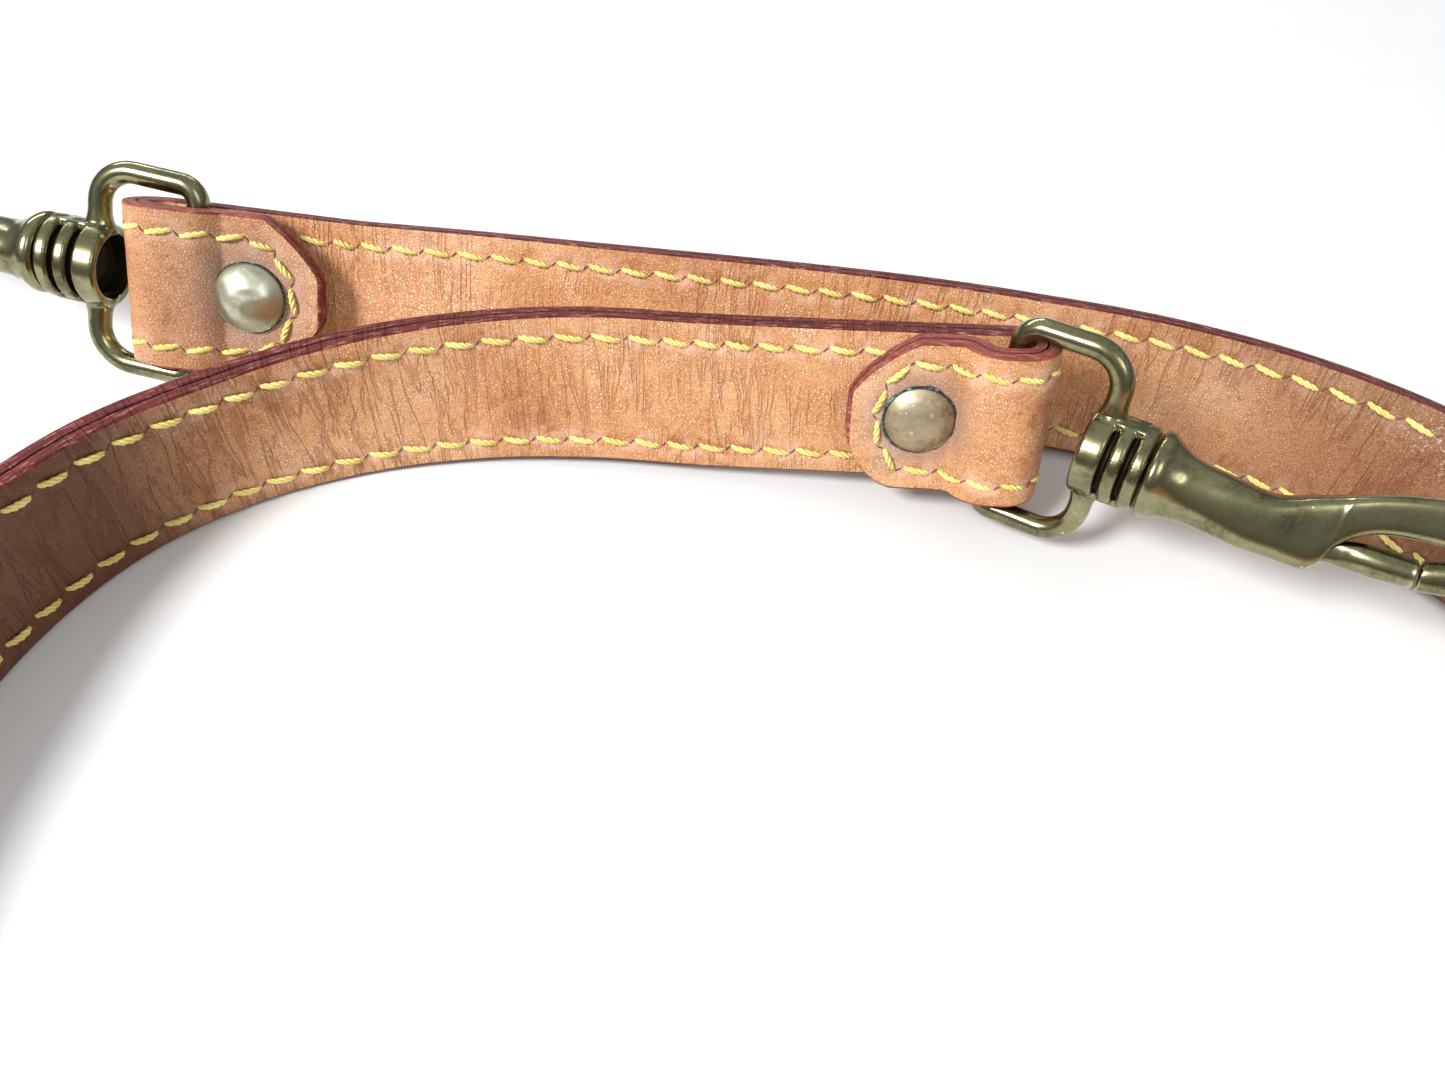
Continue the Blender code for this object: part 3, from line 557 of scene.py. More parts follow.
class Stitches:
    """Where every stitch lies: its two ends and the surface's normal."""

    def __init__(self):
        first = strap.right_fold - FOLD_RADIUS + RIGHT_FIRST_STITCH
        last = strap.left_fold + FOLD_RADIUS - LEFT_FIRST_STITCH
        count = round((last - first) / STITCH_PITCH)
        self.pitch = (last - first) / count
        self.runs = first + self.pitch * np.arange(count + 1)

    def face_row(self, height, depth, side, shift=0.0, extra=0):
        """Stitches of one straight row on one face, as (start, end, normal). The row can be
        shifted along the strap and can start some stitches earlier, under the right-hand tab."""
        early = self.runs[0] - self.pitch * np.arange(extra, 0, -1)
        return [self.stitch(run + shift, height, depth, side) for run in (*early, *self.runs)]

    def stitch(self, run, height, depth, side):
        start, normal, _ = strap.at(run - STITCH_HALF, height - STITCH_RISE, depth)
        end, _, _ = strap.at(run + STITCH_HALF, height + STITCH_RISE, depth)
        return start, end, normal * side

    def tab_loop(self, side):
        """Stitches that leave the straight rows, pass round the fold and follow the tab's outline."""
        towards, index = (-1, 0) if side == "right" else (1, -1)
        near, tip = self.runs[index], strap.run[index]
        reach = abs(tip - near) - TIP_TAPER - 0.6
        upper = [(near + towards * d, STRAP_WIDTH - STITCH_INSET)
                 for d in np.arange(self.pitch / 2, reach, 0.5)]
        lower = [(run, STITCH_INSET) for run, _ in upper]
        corner = [(tip - towards * back, HALF_WIDTH + above) for back, above in TIP_STITCHES]
        around = corner + [(run, STRAP_WIDTH - height) for run, height in corner[::-1]]
        rows = spline(upper[::4] + [upper[-1]] + around + [lower[-1]] + lower[::4][::-1], 12)
        points, normals, ups = map(np.array, zip(*(strap.at(*row, STRAP) for row in rows)))
        lengths = running_length(points)
        count = round(lengths[-1] / self.pitch)
        pitch = lengths[-1] / count
        made = []
        for k in range(count):
            middle_at = (k + 0.5) * pitch
            start = between(middle_at - STITCH_HALF, lengths, points)
            end = between(middle_at + STITCH_HALF, lengths, points)
            normal = unit(between(middle_at, lengths, normals))
            across = unit(np.cross(normal, end - start))
            across *= STITCH_RISE * np.sign(np.dot(across, ups[0]) or 1) * (1 if k < count / 2 else -1)
            made.append((start - across, end + across, normal))
        return made


stitches = Stitches()


def thread_geometry(stitch_list, vertices, faces):
    """Three twisted strands for each stitch, which dive into the leather at both ends."""
    strands, rings, sides = 3, 11, 6
    lay, thick, twist = 0.31, 0.33, 1.35
    for start, end, normal in stitch_list:
        axis = end - start
        length = np.linalg.norm(axis)
        axis = axis / length
        across = np.cross(normal, axis)
        jitter = noise.noise(Vector(start) * 0.37)
        for strand in range(strands):
            first = len(vertices)
            for r in range(rings):
                t = r / (rings - 1)
                lift = -0.62 + sin(pi * t) ** 0.42 + 0.05 * jitter
                squeeze = 0.42 + 0.58 * sin(pi * t) ** 0.7
                turn = 2 * pi * (twist * t + strand / strands + 0.4 * jitter)
                side = across * cos(turn) + normal * sin(turn)
                centre = start + axis * length * t + normal * lift + side * lay * squeeze
                other = np.cross(axis, side)
                for around in turns(sides):
                    out = side * cos(around) + other * sin(around)
                    vertices.append(centre + out * thick * squeeze)
            faces += tube_faces(rings, sides, first)


def slit_geometry(stitch_list, vertices, faces):
    """The slanted awl slit between each stitch and the next, as a thin dark lens on the leather that paints
    the shade in the hole.
    """
    for (_, before, normal), (after, _, _) in zip(stitch_list, stitch_list[1:]):
        along = after - before
        length = np.linalg.norm(along)
        if length > 4.0:
            continue
        along = along / length
        across = np.cross(normal, along)
        middle = (before + after) / 2
        first = len(vertices)
        half, wide, count = min(length / 2, 0.62), 0.13, 10
        for lift in (0.045, -0.15):
            for turn in turns(count):
                vertices.append(middle + along * half * cos(turn) + across * wide * sin(turn)
                                + normal * lift)
        faces += tube_faces(2, count, first)


def make_stitching():
    """All thread, and the slits' painted shade, a piece for each run, and the points that press into the
    leather.
    """
    cord_finish, slit_shade_finish = thread_material(), slit_shade_material()
    top, bottom = STRAP_WIDTH - STITCH_INSET, STITCH_INSET
    runs = {
        "outer_face_thread": [stitches.face_row(top, STRAP, 1), stitches.face_row(bottom, STRAP, 1),
                              stitches.tab_loop("right"), stitches.tab_loop("left")],
        "inner_face_thread_upper": [stitches.face_row(top, 0.0, -1, extra=1)],
        "inner_face_thread_lower": [stitches.face_row(bottom, 0.0, -1, shift=INNER_LOWER_SHIFT)],
    }
    pressed = []
    for node, rows in runs.items():
        vertices, faces, slit_vertices, slit_faces = [], [], [], []
        for row in rows:
            thread_geometry(row, vertices, faces)
            slit_geometry(row, slit_vertices, slit_faces)
            for start, end, _ in row:
                pressed += [start + (end - start) * t for t in (0.1, 0.3, 0.5, 0.7, 0.9)]
        thread = face_out(make_object(node.replace("thread", "stitches"), vertices, faces, cord_finish))
        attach(thread, "strap")
        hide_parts(node)
        slits = make_object(node.replace("thread", "awl_hole_shades"), slit_vertices, slit_faces,
                            slit_shade_finish, smooth=False)
        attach(face_out(slits), "strap")
    return pressed


# ==== leather ====

def section(inner, outer, shown_low):
    """Outline of a ply's cross-section as (height, depth, edge paint), with the shown face fine and
    the hidden face coarse. Edge paint above 1 marks the hidden corners in the seam between the plies,
    which get painted shade. shown_low says that the shown face is the one at the smaller depth."""
    full = STRAP_WIDTH
    fine = [0.9, 1.6, 2.3, 2.9, 3.4, 4.0, 4.6, 5.1, 5.7, 6.5, 7.6, 9.0, 10.6, 12.3, 14.0]
    fine = fine + [full - h for h in fine[-2::-1]]
    coarse = [1.0, 9.0, 19.0, 27.0]
    shown, hidden = (inner, outer) if shown_low else (outer, inner)
    inwards = 1 if shown_low else -1
    shown_corner = shown, inwards, 0.50, (0.0, 0.85, 1.0, 1.0)
    # the hidden corners lie in the seam between the plies, where paint above 1 paints shade
    hidden_corner = hidden, -inwards, 0.34, (2.0, 1.8, 1.3, 1.0)

    def corner(top, face, into, radius, paint):
        """Quarter round from a face to the top or the bottom edge."""
        points = []
        for share, coat in zip((0.0, 0.33, 0.67, 1.0), paint):
            away = radius * (1 - sin(share * pi / 2))
            deep = radius * (1 - cos(share * pi / 2))
            points.append((full - away if top else away, face + into * deep, coat))
        return points

    middle = (inner + outer) / 2
    outline = [(h, shown, 0.0) for h in fine]
    outline += corner(True, *shown_corner) + [(full, middle, 1.0)] + corner(True, *hidden_corner)[::-1]
    outline += [(h, hidden, 0.0) for h in coarse[::-1]]
    outline += corner(False, *hidden_corner) + [(0.0, middle, 1.0)] + corner(False, *shown_corner)[::-1]
    return outline, len(fine)


def bell(value, centre, width):
    """1 at the centre, fading on both sides."""
    return np.exp(-((value - centre) / width) ** 2)


def creases(run, height, seed):
    """Low cross-wise rumples of the leather, in millimetres, deepest near the strap's lower edge."""
    sway = 1.6 * noise.noise(Vector((run * 0.05, height * 0.12, seed + 3.0)))
    spot = Vector((run * 0.27 + sway, height * 0.06, seed))
    broad = noise.noise(Vector((run * 0.035, height * 0.05, seed + 7.0)))
    fade = 1.25 - 0.75 * height / STRAP_WIDTH
    deeper = 1.0 + 1.8 * bent(run)
    return 0.085 * deeper * fade * noise.noise(spot) * (0.6 + broad) + 0.10 * broad


def stain_at(here):
    """How strongly the rivets' metal has stained the tabs at a point."""
    stain = 0.0
    for side, reach in STAIN_REACH.items():
        seat, _ = rivet_place(side)
        away = (here - seat).length
        stain += 0.55 * bell(max(away - CAP_RADIUS, 0), 0.0, reach)
    return stain


def make_ply(name, node, inner, outer, shown_low, finish, pressed):
    """One ply: rounded painted edges, rumples, and hollows where the stitches press it."""
    outline, shown_count = section(inner, outer, shown_low)
    count, rows = len(outline), len(strap.run)
    nearest = kdtree.KDTree(len(pressed))
    for index, point in enumerate(pressed):
        nearest.insert(Vector(point), index)
    nearest.balance()
    sign = -1 if shown_low else 1
    middle = (inner + outer) / 2
    vertices = np.zeros((rows * count, 3))
    marks = {key: np.zeros(rows * count, np.float32) for key in ("edge", "tab", "stitch", "stain", "deep")}
    flat = np.zeros((rows * count, 2), np.float32)
    for r in range(rows):
        point, normal, up = strap.point[r], strap.normal[r], strap.up[r]
        on_shown_tab = strap.tab[r] and not shown_low
        from_end = min(r, rows - 1 - r)
        shrink = (0.0, 0.42, 0.75, 0.93, 1.0)[min(from_end, 4)]
        for k, (height, depth, paint) in enumerate(outline):
            index = r * count + k
            share = strap.wide[r][1 if height > HALF_WIDTH else 0] / HALF_WIDTH
            real_height = HALF_WIDTH + (height - HALF_WIDTH) * share
            from_side = min(height, STRAP_WIDTH - height)
            lift = 0.0
            if k < shown_count:
                here = Vector(point + up * real_height + normal * depth)
                _, _, distance = nearest.find(here)
                rumple = creases(strap.run[r], real_height, inner) * (0.3 if strap.tab[r] else 1.0)
                pillow = PILLOW_HIGH if real_height > PILLOW_TOP else PILLOW_LOW
                lift = sign * (rumple - PRESS_DEPTH * bell(distance, 0.0, PRESS_WIDTH)
                               + pillow * bell(distance, PILLOW_AT, PILLOW_WIDTH))
                marks["stitch"][index] = bell(max(distance - 0.7, 0), 0.0, 1.4)
                marks["stain"][index] = stain_at(here) if on_shown_tab else 0.0
            if on_shown_tab and abs(from_side - LINE_AT) < 0.1:
                lift -= LINE_DEPTH
            deep = middle + (depth - middle) * (0.55 + 0.45 * shrink)
            vertices[index] = point + up * real_height + normal * (deep + lift)
            bleed = 0.44 if on_shown_tab and from_side < 1.0 else 0.0
            marks["edge"][index] = max(paint, bleed, 1.0 if from_end < 3 else 0.0)
            marks["tab"][index] = strap.tab[r]
            marks["deep"][index] = depth * MM
            flat[index] = (strap.run[r] * MM, real_height * MM)
    runs, heights = flat.T / MM
    marks |= {"painted_shade_and_age": painted_shade_and_age(runs), "bent": bent(runs), "painted_sheen": painted_sheen(runs, heights)}
    made = make_object(name, vertices, tube_faces(rows, count), finish)
    for key, values in marks.items():
        paint_points(made, key, values)
    layer = made.data.uv_layers.new(name="strap")
    corners = np.zeros(len(made.data.loops), np.int32)
    made.data.loops.foreach_get("vertex_index", corners)
    layer.data.foreach_set("uv", flat[corners].ravel())
    face_out(made)
    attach(made, "strap")
    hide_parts(node)
    return made


def painted_shade_and_age(run):
    """How dark the leather is painted, mostly as shade with some darkening of age: most where the strap
    bends towards its two ends and turns its face from the light, and where it lies in the right-hand hook's
    shadow; also a dark smudge on the left-hand tab.
    """
    away = np.maximum(np.abs(run - strap.right_fold - 192.0) - 38.0, 0.0)
    near_left = 0.80 * bell(strap.left_fold - run, 240.0, 60.0)
    left_tab = 0.38 * bell(strap.run[-1] - run, 22.0, 14.0)
    return bell(away, 0.0, 17.0) + near_left + left_tab


def bent(run):
    """Where the right-hand half of the strap is bent most and wrinkles."""
    return bell(run - strap.right_fold, 128.0, 46.0)


def painted_sheen(run, height):
    """Where pale sheen is painted on in white specks: beside the left-hand tab, and on the bend farther
    back.
    """
    back = strap.left_fold - run
    beside_tab = bell(back, 46.0, 12.0) * bell(height, 15.0, 8.0)
    on_bend = bell(back, 232.0, 16.0) * bell(height, 24.0, 5.0)
    return 0.75 * beside_tab + 0.9 * on_bend


# ==== rivets ====

def rivet_place(side):
    """World point and turn of a rivet's axis where it meets the inner face of the strap."""
    end = ENDS[side]
    place = end_frame(end) @ Matrix.Translation((FOLD_OUTER - RIVET_TO_FOLD, 0, HALF_WIDTH))
    place = place @ Matrix.Rotation(pi / 2 * end["out"], 4, 'Z')
    front = end["tab_gap"] + STRAP
    return place @ Vector((front, 0, 0)), place


def turned(profile, segments, wobble=0.0):
    """Vertices and faces of a solid turned about X, from (x, radius) pairs between two poles."""
    vertices = [(profile[0][0], 0.0, 0.0)]
    for x, radius in profile[1:-1]:
        for turn in turns(segments):
            y, z = radius * cos(turn), radius * sin(turn)
            dent = wobble * noise.noise(Vector((x * 0.8, y * 0.55, z * 0.55)))
            vertices.append((x + dent, y, z))
    vertices.append((profile[-1][0], 0.0, 0.0))
    last = len(vertices) - 1
    rings = len(profile) - 2
    faces = tube_faces(rings, segments, 1, ends="open")
    faces += [(0, 1 + (k + 1) % segments, 1 + k) for k in range(segments)]
    end = 1 + (rings - 1) * segments
    faces += [(last, end + k, end + (k + 1) % segments) for k in range(segments)]
    return vertices, faces


def on_rivet(side, name, vertices, faces, finish, sharp=None):
    """A closed mesh in mm on a rivet's axis, moved to its place on the strap."""
    matrix = np.array(rivet_place(side)[1])
    vertices = np.array(vertices) @ matrix[:3, :3].T + matrix[:3, 3]
    return face_out(make_object(f"{side}_rivet_{name}", vertices, faces, finish, sharp=sharp))


def make_rivet(side, finish):
    """Domed cap and tubular post of one rivet."""
    end = ENDS[side]
    back = -STRAP - GAP
    front = end["tab_gap"] + STRAP + end["cap_lift"] - 0.05
    height = WORN_CAP_HEIGHT if side == "right" else CAP_HEIGHT
    dome = [(front + height * (1 - (k / 24) ** 2.4), CAP_RADIUS * (k / 24) ** 0.95) for k in range(25)]
    rim = [(front + 0.15, CAP_RADIUS + 0.05), (front, CAP_RADIUS - 0.1), (front - 0.1, CAP_RADIUS - 0.6),
           (front - 0.1, 1.2), (back + 1.0, STEM_RADIUS), (back + 1.0, 0.0)]
    cap = on_rivet(side, "dome", *turned(dome + rim, 72, 0.10), finish, sharp=50)
    head, base = POST_HEAD_RADIUS, back - POST_HEAD_HEIGHT
    post = [(base, 0.0), (base, head - 1.9), (back - 1.0, head - 1.3), (back - 0.65, head - 0.45),
            (back - 0.3, head), (back - 0.05, head - 0.15), (back, head - 0.5), (back, 2.0),
            (back + 0.1, TUBE_RADIUS), (front - GAP, TUBE_RADIUS), (front - GAP, TUBE_BORE),
            (back + 0.6, TUBE_BORE), (back + 0.6, 0.0)]
    foot = on_rivet(side, "foot", *turned(post, 64, 0.05), finish, sharp=50)
    for made, node in ((cap, f"{side}_rivet_cap"), (foot, f"{side}_rivet_post")):
        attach(made, "strap")
        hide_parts(node)


def make_crust(side, finish):
    """The uneven ring of verdigris that has grown round a rivet's cap."""
    x = ENDS[side]["tab_gap"] + STRAP + ENDS[side]["cap_lift"] * 0.4
    around, sides = 96, 8
    thickness, seed = CRUST[side]
    vertices = []
    for turn in turns(around):
        level = noise.noise(Vector((cos(turn) * 2.3, sin(turn) * 2.3, seed)))
        thick = thickness * (0.75 + 0.8 * level)
        for lap in turns(sides):
            reach = CAP_RADIUS + 0.08 + thick * cos(lap)
            vertices.append((x + thick * 0.55 * sin(lap), reach * cos(turn), reach * sin(turn)))
    ring = on_rivet(side, "crust", vertices, tube_faces(around, sides, ends="joined"), finish)
    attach(ring, "strap")


# ==== eye, hook and gate ====

def hook_frames(side):
    """Matrices in mm of the bar's axis, the swivel's axis and the gate's axis at rest."""
    end = ENDS[side]
    bar = Vector((-end["bar_depth"], FOLD_RADIUS * end["out"], HALF_WIDTH))
    turn = (Matrix.Rotation(radians(end["tilt"]), 4, 'Y')
            @ Matrix.Rotation(radians(end["swing"]) * end["out"], 4, 'Z'))
    eye = end_frame(end) @ Matrix.Translation(bar) @ turn
    swivel = eye @ Matrix.Rotation(radians(end["roll"]), 4, 'X')
    return eye, swivel, swivel @ Matrix.Translation((PIVOT_X, 0, PIVOT_Z))


def arc(centre_x, centre_z, radius, start, end, steps):
    angles = [radians(start + (end - start) * k / steps) for k in range(steps + 1)]
    return [Vector((centre_x + radius * cos(a), 0, centre_z + radius * sin(a))) for a in angles]


def eye_wire():
    """The wire loop, which widens where it runs into the barrel."""
    top = arc(EYE_LENGTH - BARREL_CORNER, EYE_HALF_HEIGHT - BARREL_CORNER, BARREL_CORNER, 0, 90, 14)
    bar_top = arc(BAR_CORNER, EYE_HALF_HEIGHT - BAR_CORNER, BAR_CORNER, 90, 180, 10)
    root = [Vector((EYE_LENGTH, 0, STUB + (EYE_HALF_HEIGHT - BARREL_CORNER - STUB) * k / 12))
            for k in range(12)]
    half = root + top + bar_top
    path = half + [Vector((p.x, 0, -p.z)) for p in half[::-1]]
    sides, vertices = 28, []
    for index, point in enumerate(path):
        before, after = path[max(index - 1, 0)], path[min(index + 1, len(path) - 1)]
        along = (after - before).normalized()
        across = Vector((-along.z, 0.0, along.x))
        near = 1 - (abs(point.z) - 5.6) / 4.2 if point.x > EYE_LENGTH - 1.5 else 0.0
        near = min(max(near, 0.0), 0.9)
        wide = WIRE_RADIUS * (1 + 0.85 * near ** 2)
        thick = WIRE_RADIUS * (1 + 0.12 * near)
        for turn in turns(sides):
            vertices.append(point + across * wide * cos(turn) + Vector((0, thick * sin(turn), 0)))
    return [tuple(v) for v in vertices], tube_faces(len(path), sides)


def barrel():
    """Three rings with two grooves between them, and the cup that opens towards the leather."""
    rings = [(BARREL_START, 18.8), (19.7, 22.1), (23.0, BARREL_END)]
    profile = [(CUP_FLOOR, BORE_RADIUS), (CUP_FLOOR, CUP_RADIUS - 1.2), (CUP_FLOOR - 1.0, CUP_RADIUS),
               (BARREL_START, CUP_RADIUS + 0.5)]
    for start, end in rings:
        profile += [(start, BARREL_RADIUS - 0.5), (start + 0.5, BARREL_RADIUS),
                    (end - 0.5, BARREL_RADIUS), (end, BARREL_RADIUS - 0.5)]
        if end != BARREL_END:
            profile += [(end, GROOVE_RADIUS - 0.4), (end + GROOVE_WIDTH, GROOVE_RADIUS - 0.4)]
    profile.append((BARREL_END, BORE_RADIUS))
    segments, vertices = 96, []
    for x, radius in profile:
        for turn in turns(segments):
            squared = 1 + 0.05 * abs(sin(turn)) ** 3 if radius > GROOVE_RADIUS else 1.0
            vertices.append((x, radius * cos(turn), radius * sin(turn) * squared))
    return vertices, tube_faces(len(profile), segments, ends="joined")


def make_eye(side, finish):
    """Loop, barrel and pads remeshed as one casting, with soft fillets where they meet."""
    eye_place, _, _ = hook_frames(side)
    shells = [eye_wire(), barrel()]
    for low, high in ((PAD_LOW, PAD_HIGH), (-PAD_HIGH, -PAD_LOW)):
        shells.append(block((PAD_START, -PAD_HALF_WIDTH, low), (PAD_END, PAD_HALF_WIDTH, high)))
    vertices, faces = [], []
    for shell_vertices, shell_faces in shells:
        faces += [tuple(i + len(vertices) for i in face) for face in shell_faces]
        vertices += shell_vertices
    made = face_out(make_object(f"{side}_cast_eye", vertices, faces, finish))
    add_modifier(made, "fuse", 'REMESH', mode='VOXEL', voxel_size=VOXEL * MM)
    add_modifier(made, "soften", 'SMOOTH', factor=0.5, iterations=3)
    apply_modifiers(made)
    made.data.shade_smooth()
    paint_grime(made, eye_grime)
    move_to(made, eye_place)
    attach(made, f"{side}_eye")
    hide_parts(f"{side}_eye")


def eye_grime(x, y, z):
    """Black in the grooves between the rings and inside the cup."""
    radius = np.hypot(y, z)
    groove = (radius < BARREL_RADIUS - 0.55) & (x > 18.4) & (x < 23.4) & (np.abs(z) < 6.6)
    return groove | ((radius < CUP_RADIUS + 0.35) & (x < CUP_FLOOR + 0.6))


def hook_grime(x, y, z):
    """Black in the swivel's cup and in the gate's slot."""
    slot = (x > SLOT_START - 0.1) & (x < SLOT_END + 0.1) & (np.abs(y) < SLOT_HALF_WIDTH + 0.05)
    return ((np.hypot(y, z) < 4.6) & (x < NECK[0][0])) | (slot & (z < SLOT_TOP + 0.1))


def paint_grime(made, rule):
    """Stores on each vertex how much grime sits there, by a rule of its place in mm."""
    places = np.zeros(len(made.data.vertices) * 3)
    made.data.vertices.foreach_get("co", places)
    x, y, z = places.reshape(-1, 3).T / MM
    paint_points(made, "grime", rule(x, y, z))


def add_modifier(made, name, kind, **settings):
    step = made.modifiers.new(name, kind)
    for key, value in settings.items():
        setattr(step, key, value)


def apply_modifiers(made):
    bpy.context.view_layer.update()
    evaluated = made.evaluated_get(bpy.context.evaluated_depsgraph_get())
    mesh = bpy.data.meshes.new_from_object(evaluated)
    made.modifiers.clear()
    made.data = mesh


def superellipse(centre, across, half_across, half_thick, power):
    """A ring in the plane of an in-plane direction and Y, squarer as the power grows."""
    ring = []
    for k in range(AROUND):
        turn = 2 * pi * (k + 0.5) / AROUND
        c, s = cos(turn), sin(turn)
        u = abs(c) ** (2 / power) * (1 if c > 0 else -1)
        v = abs(s) ** (2 / power) * (1 if s > 0 else -1)
        ring.append(centre + across * half_across * u + Vector((0, half_thick * v, 0)))
    return ring


# The hook from the swivel's flange to its bowl: x, bottom, top, half thickness, squareness.
NECK = [
    (25.7, -6.6, 6.6, 6.6, 2.0), (26.4, -7.2, 7.2, 7.2, 2.0), (27.6, -7.2, 7.1, 7.0, 2.0),
    (29.2, -6.6, 6.0, 5.9, 2.0), (31.5, -6.1, 4.8, 4.8, 2.2), (34.5, -5.9, 4.2, 4.4, 2.5),
    (38.2, -6.1, 3.8, 4.2, 2.8), (41.6, -6.3, 3.4, 3.9, 3.2), (44.5, -6.2, 3.4, 3.6, 3.4),
    (47.0, -6.1, 4.2, 3.3, 3.6), (49.0, -6.1, 5.1, 3.0, 3.8), (51.0, -6.0, 5.9, 2.8, 4.0),
    (52.4, -5.6, 6.5, 2.7, 4.0), (53.3, -4.4, 6.9, 2.6, 4.0), (53.9, -2.6, 7.2, 2.6, 4.0),
    (54.6, -0.9, 7.5, 2.5, 4.0), (56.0, 0.9, 8.1, 2.4, 4.0), (58.0, 2.5, 8.9, 2.3, 4.0),
    (61.0, 3.6, 9.9, 2.2, 4.0), (64.5, 4.2, 10.8, 2.1, 4.0), (68.5, 4.6, 11.4, 2.1, 3.6),
]
# The gate from its heel to its free end: x, z, half height, half thickness, squareness.
GATE = [
    (48.65, -2.9, 0.7, 1.2, 4.0), (49.3, -2.9, 1.6, 1.3, 4.0), (50.8, -2.9, 2.15, 1.3, 4.0),
    (52.4, -2.6, 1.9, 1.3, 4.0), (54.0, -2.1, 1.65, 1.3, 3.6), (55.6, -1.7, 1.95, 1.35, 3.0),
    (57.6, -1.4, 2.3, 1.9, 2.2), (61.0, -1.25, 2.4, 2.2, 2.0), (64.7, -1.0, 2.25, 2.1, 2.0),
]
BOWL_CENTRE = (71.6, 4.3)
BOWL_RADIUS = 3.9
NOSE_END = 66.2
AROUND = 40                   # points round each cross-section


def hook_rings():
    """Cross-sections of the hook from the shank's head to the nose."""
    up = Vector((0, 0, 1))
    rings = []
    head = ((SHANK_HEAD_START, 1.6), (SHANK_HEAD_START + 0.15, SHANK_HEAD_RADIUS - 1.0),
            (SHANK_HEAD_START + 0.6, SHANK_HEAD_RADIUS - 0.1), (CUP_FLOOR - GAP, SHANK_HEAD_RADIUS - 0.3),
            (CUP_FLOOR - GAP + 0.01, SHANK_RADIUS), (NECK[0][0] - 0.01, SHANK_RADIUS))
    for x, radius in head:
        rings.append(superellipse(Vector((x, 0, 0)), up, radius, radius, 2.0))
    for x, low, high, thick, power in spline(NECK, 5):
        centre = Vector((x, 0, (low + high) / 2))
        rings.append(superellipse(centre, up, (high - low) / 2, thick, power))
    cx, cz = BOWL_CENTRE
    for k in range(1, 29):
        turn = radians(82 - 165 * k / 28)
        across = Vector((cos(turn), 0, sin(turn)))
        centre = Vector((cx, 0, cz)) + across * BOWL_RADIUS
        rings.append(superellipse(centre, across, 3.3 - 0.55 * k / 28, 2.1, 3.2 - k * 0.025))
    tail = spline([(69.9, 0.2, 2.65, 2.05, 0.18, -0.98), (68.0, -0.35, 2.5, 2.05, 0.2, -0.98),
                   (NOSE_END + 0.25, -0.78, 2.33, 2.0, 0.12, -0.99),
                   (NOSE_END, -0.8, 2.1, 1.8, 0.12, -0.99)], 4)
    for x, z, half, thick, ax, az in tail:
        across = Vector((ax, 0, az)).normalized()
        rings.append(superellipse(Vector((x, 0, z)), across, half, thick, 2.2))
    return rings


def gate_rings():
    """Cross-sections of the gate, measured from its hinge's axis."""
    pivot = Vector((PIVOT_X, 0, PIVOT_Z))
    rings = [superellipse(Vector((x, 0, z)) - pivot, Vector((0, 0, 1)), half, thick, power)
             for x, z, half, thick, power in spline(GATE, 5)]
    end, across = Vector((NOSE_END - 0.45, 0, -0.9)) - pivot, Vector((-0.12, 0, 0.99))
    rings.append(superellipse(end - Vector((0.25, 0, 0)), across, 2.2, 2.05, 2.0))
    rings.append(superellipse(end, across, 2.0, 1.85, 2.0))
    return rings


def loft_object(name, rings, finish, sharp=None):
    """A solid through cross-sections that each have the same number of points."""
    vertices = [point for ring in rings for point in ring]
    return face_out(make_object(name, vertices, tube_faces(len(rings), len(rings[0])), finish, sharp=sharp))


def cut(target, name, vertices, faces):
    """Cuts a shape given in mm out of the target."""
    tool = face_out(make_object(name, vertices, faces, target.data.materials[0], smooth=False))
    add_modifier(target, name, 'BOOLEAN', operation='DIFFERENCE', object=tool)
    apply_modifiers(target)
    bpy.data.objects.remove(tool)


def block(low, high):
    x0, y0, z0 = low
    x1, y1, z1 = high
    vertices = [(x0, y0, z0), (x1, y0, z0), (x1, y1, z0), (x0, y1, z0),
                (x0, y0, z1), (x1, y0, z1), (x1, y1, z1), (x0, y1, z1)]
    return vertices, tube_faces(2, 4)


def rod(radius, half_length, segments=32):
    """A cylinder along Y."""
    vertices = [(radius * cos(turn), y, radius * sin(turn))
                for y in (-half_length, half_length) for turn in turns(segments)]
    return vertices, tube_faces(2, segments)


def move_to(made, matrix):
    """Moves a mesh made in its own frame, in metres, to its place given by a matrix in mm."""
    place = matrix.copy()
    place.translation = place.translation * MM
    made.data.transform(place)


def make_hook(side, finish):
    """Hook casting with its gate slot, and the gate and its pin."""
    _, swivel, gate_place = hook_frames(side)
    hook = loft_object(f"{side}_cast_hook", hook_rings(), finish)
    cut(hook, "slot", *block((SLOT_START, -SLOT_HALF_WIDTH, -8.0), (SLOT_END, SLOT_HALF_WIDTH, SLOT_TOP)))
    add_modifier(hook, "worn_edges", 'BEVEL', width=0.18 * MM, segments=2, limit_method='ANGLE',
                 angle_limit=radians(50))
    apply_modifiers(hook)
    hook.data.shade_smooth()
    hook.data.set_sharp_from_angle(angle=radians(45))
    paint_grime(hook, hook_grime)
    move_to(hook, swivel)
    gate = loft_object(f"{side}_cast_gate", gate_rings(), finish, sharp=40)
    move_to(gate, gate_place)
    pin = face_out(make_object(f"{side}_hinge_pin", *rod(PIN_RADIUS, PIN_HALF), finish, sharp=40))
    move_to(pin, gate_place)
    for made, body, node in ((hook, f"{side}_hook", f"{side}_hook"), (gate, f"{side}_gate", f"{side}_gate"),
                             (pin, f"{side}_hook", f"{side}_gate_pin")):
        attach(made, body)
        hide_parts(node)


# ==== stage ====

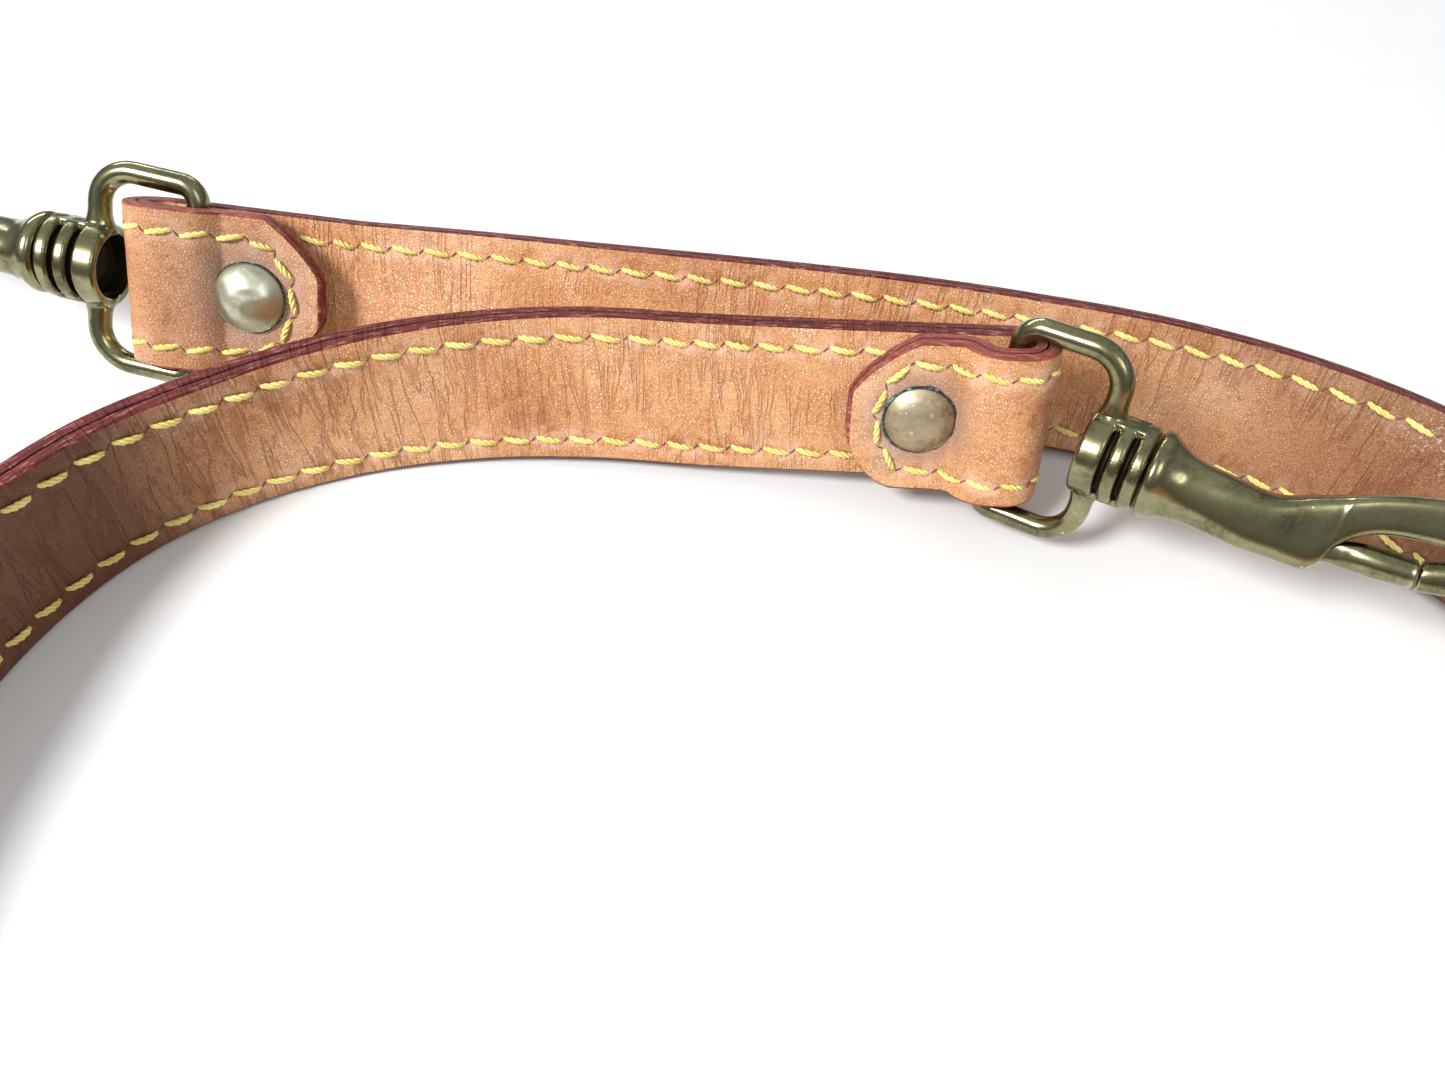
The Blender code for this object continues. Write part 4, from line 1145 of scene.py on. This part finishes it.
def make_camera():
    """The camera looks down over the near side of the loop at the two overlapping ends."""
    data = bpy.data.cameras.new("camera")
    data.lens = 26.48
    data.sensor_width = 36.0
    data.clip_start = 0.005
    made = link("camera", data)
    right = Vector((0.9961, 0.0680, 0.0557))
    up = Vector((-0.0879, 0.7706, 0.6311))
    back = Vector((0.0, -0.6336, 0.7736))
    made.matrix_world = Matrix((right, up, back)).transposed().to_4x4()
    made.location = (0.0095, -0.0339, 0.1454)
    bpy.context.scene.camera = made


def make_floor():
    size = 3000.0
    vertices = [(-size, -size, -0.3), (size, -size, -0.3), (size, size, -0.3), (-size, size, -0.3)]
    made = make_object("floor", vertices, [(0, 1, 2, 3)], floor_material(), smooth=False)


def soft_light(name, place, aim, size, power, wide=None):
    """A round area light, or a strip where its width is given, turned towards a point."""
    data = bpy.data.lights.new(name, 'AREA')
    data.shape = 'RECTANGLE' if wide else 'DISK'
    data.size = size
    if wide:
        data.size_y = wide
    data.energy = power
    made = link(name, data)
    made.location = place
    made.rotation_euler = (Vector(aim) - Vector(place)).to_track_quat('-Z', 'Y').to_euler()


def make_light():
    """Daylight from the left, a weak fill, a long strip behind for the metal, and a sky that darkens
    towards the horizon."""
    world = bpy.data.worlds.new("studio")
    bpy.context.scene.world = world
    world.use_nodes = True
    tree = world.node_tree
    where = tree.nodes.new("ShaderNodeTexCoord")
    split = tree.nodes.new("ShaderNodeSeparateXYZ")
    ramp = tree.nodes.new("ShaderNodeMapRange")
    tree.links.new(where.outputs["Generated"], split.inputs[0])
    tree.links.new(split.outputs[2], ramp.inputs[0])
    for index, value in ((1, 0.05), (2, 0.85), (3, 0.16), (4, 0.62)):
        ramp.inputs[index].default_value = value
    sky = tree.nodes["Background"]
    sky.inputs["Color"].default_value = (0.97, 0.985, 1.0, 1.0)
    tree.links.new(ramp.outputs[0], sky.inputs["Strength"])
    soft_light("window", (-0.62, -0.40, 0.80), (0.0, 0.08, 0.0), 0.30, 15.0)
    soft_light("fill", (0.45, -0.55, 0.75), (0.0, 0.08, 0.0), 0.5, 2.0)
    soft_light("strip", (-0.35, 0.85, 0.55), (0.0, 0.10, 0.0), 1.1, 4.0, 0.08)
    bpy.context.scene.view_settings.view_transform = 'Standard'


# ==== assembly ====

def build():
    make_camera()
    make_floor()
    make_light()
    pressed = make_stitching()
    face = leather("strap_leather", (0.90, 0.61, 0.38), (0.76, 0.41, 0.195), (0.38, 0.145, 0.055), 0.47)
    make_ply("outer_leather", "strap_outer_ply", PLY + GAP - 0.2, STRAP, False, face, pressed)
    make_ply("inner_leather", "strap_inner_ply", 0.0, PLY, True, face, pressed)
    dull = brass("rivet_brass_dull", (0.18, 0.135, 0.08), (0.46, 0.38, 0.25), (0.66, 0.57, 0.41),
                 0.44, 0.62, 0.6)
    rubbed = brass("rivet_brass_rubbed", (0.30, 0.30, 0.22), (0.56, 0.56, 0.43), (0.80, 0.80, 0.66),
                   0.32, 0.48, 0.4)
    crust = verdigris_material()
    cast = brass("antique_brass", (0.095, 0.090, 0.048), (0.29, 0.275, 0.15), (0.80, 0.75, 0.46))
    steel = steel_material()
    for side in ENDS:
        make_rivet(side, dull if side == "right" else rubbed)
        make_crust(side, crust)
        make_eye(side, cast)
        make_hook(side, cast)
        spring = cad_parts[f"{side}_gate_spring"]
        spring.data.materials.clear()
        spring.data.materials.append(steel)


build()
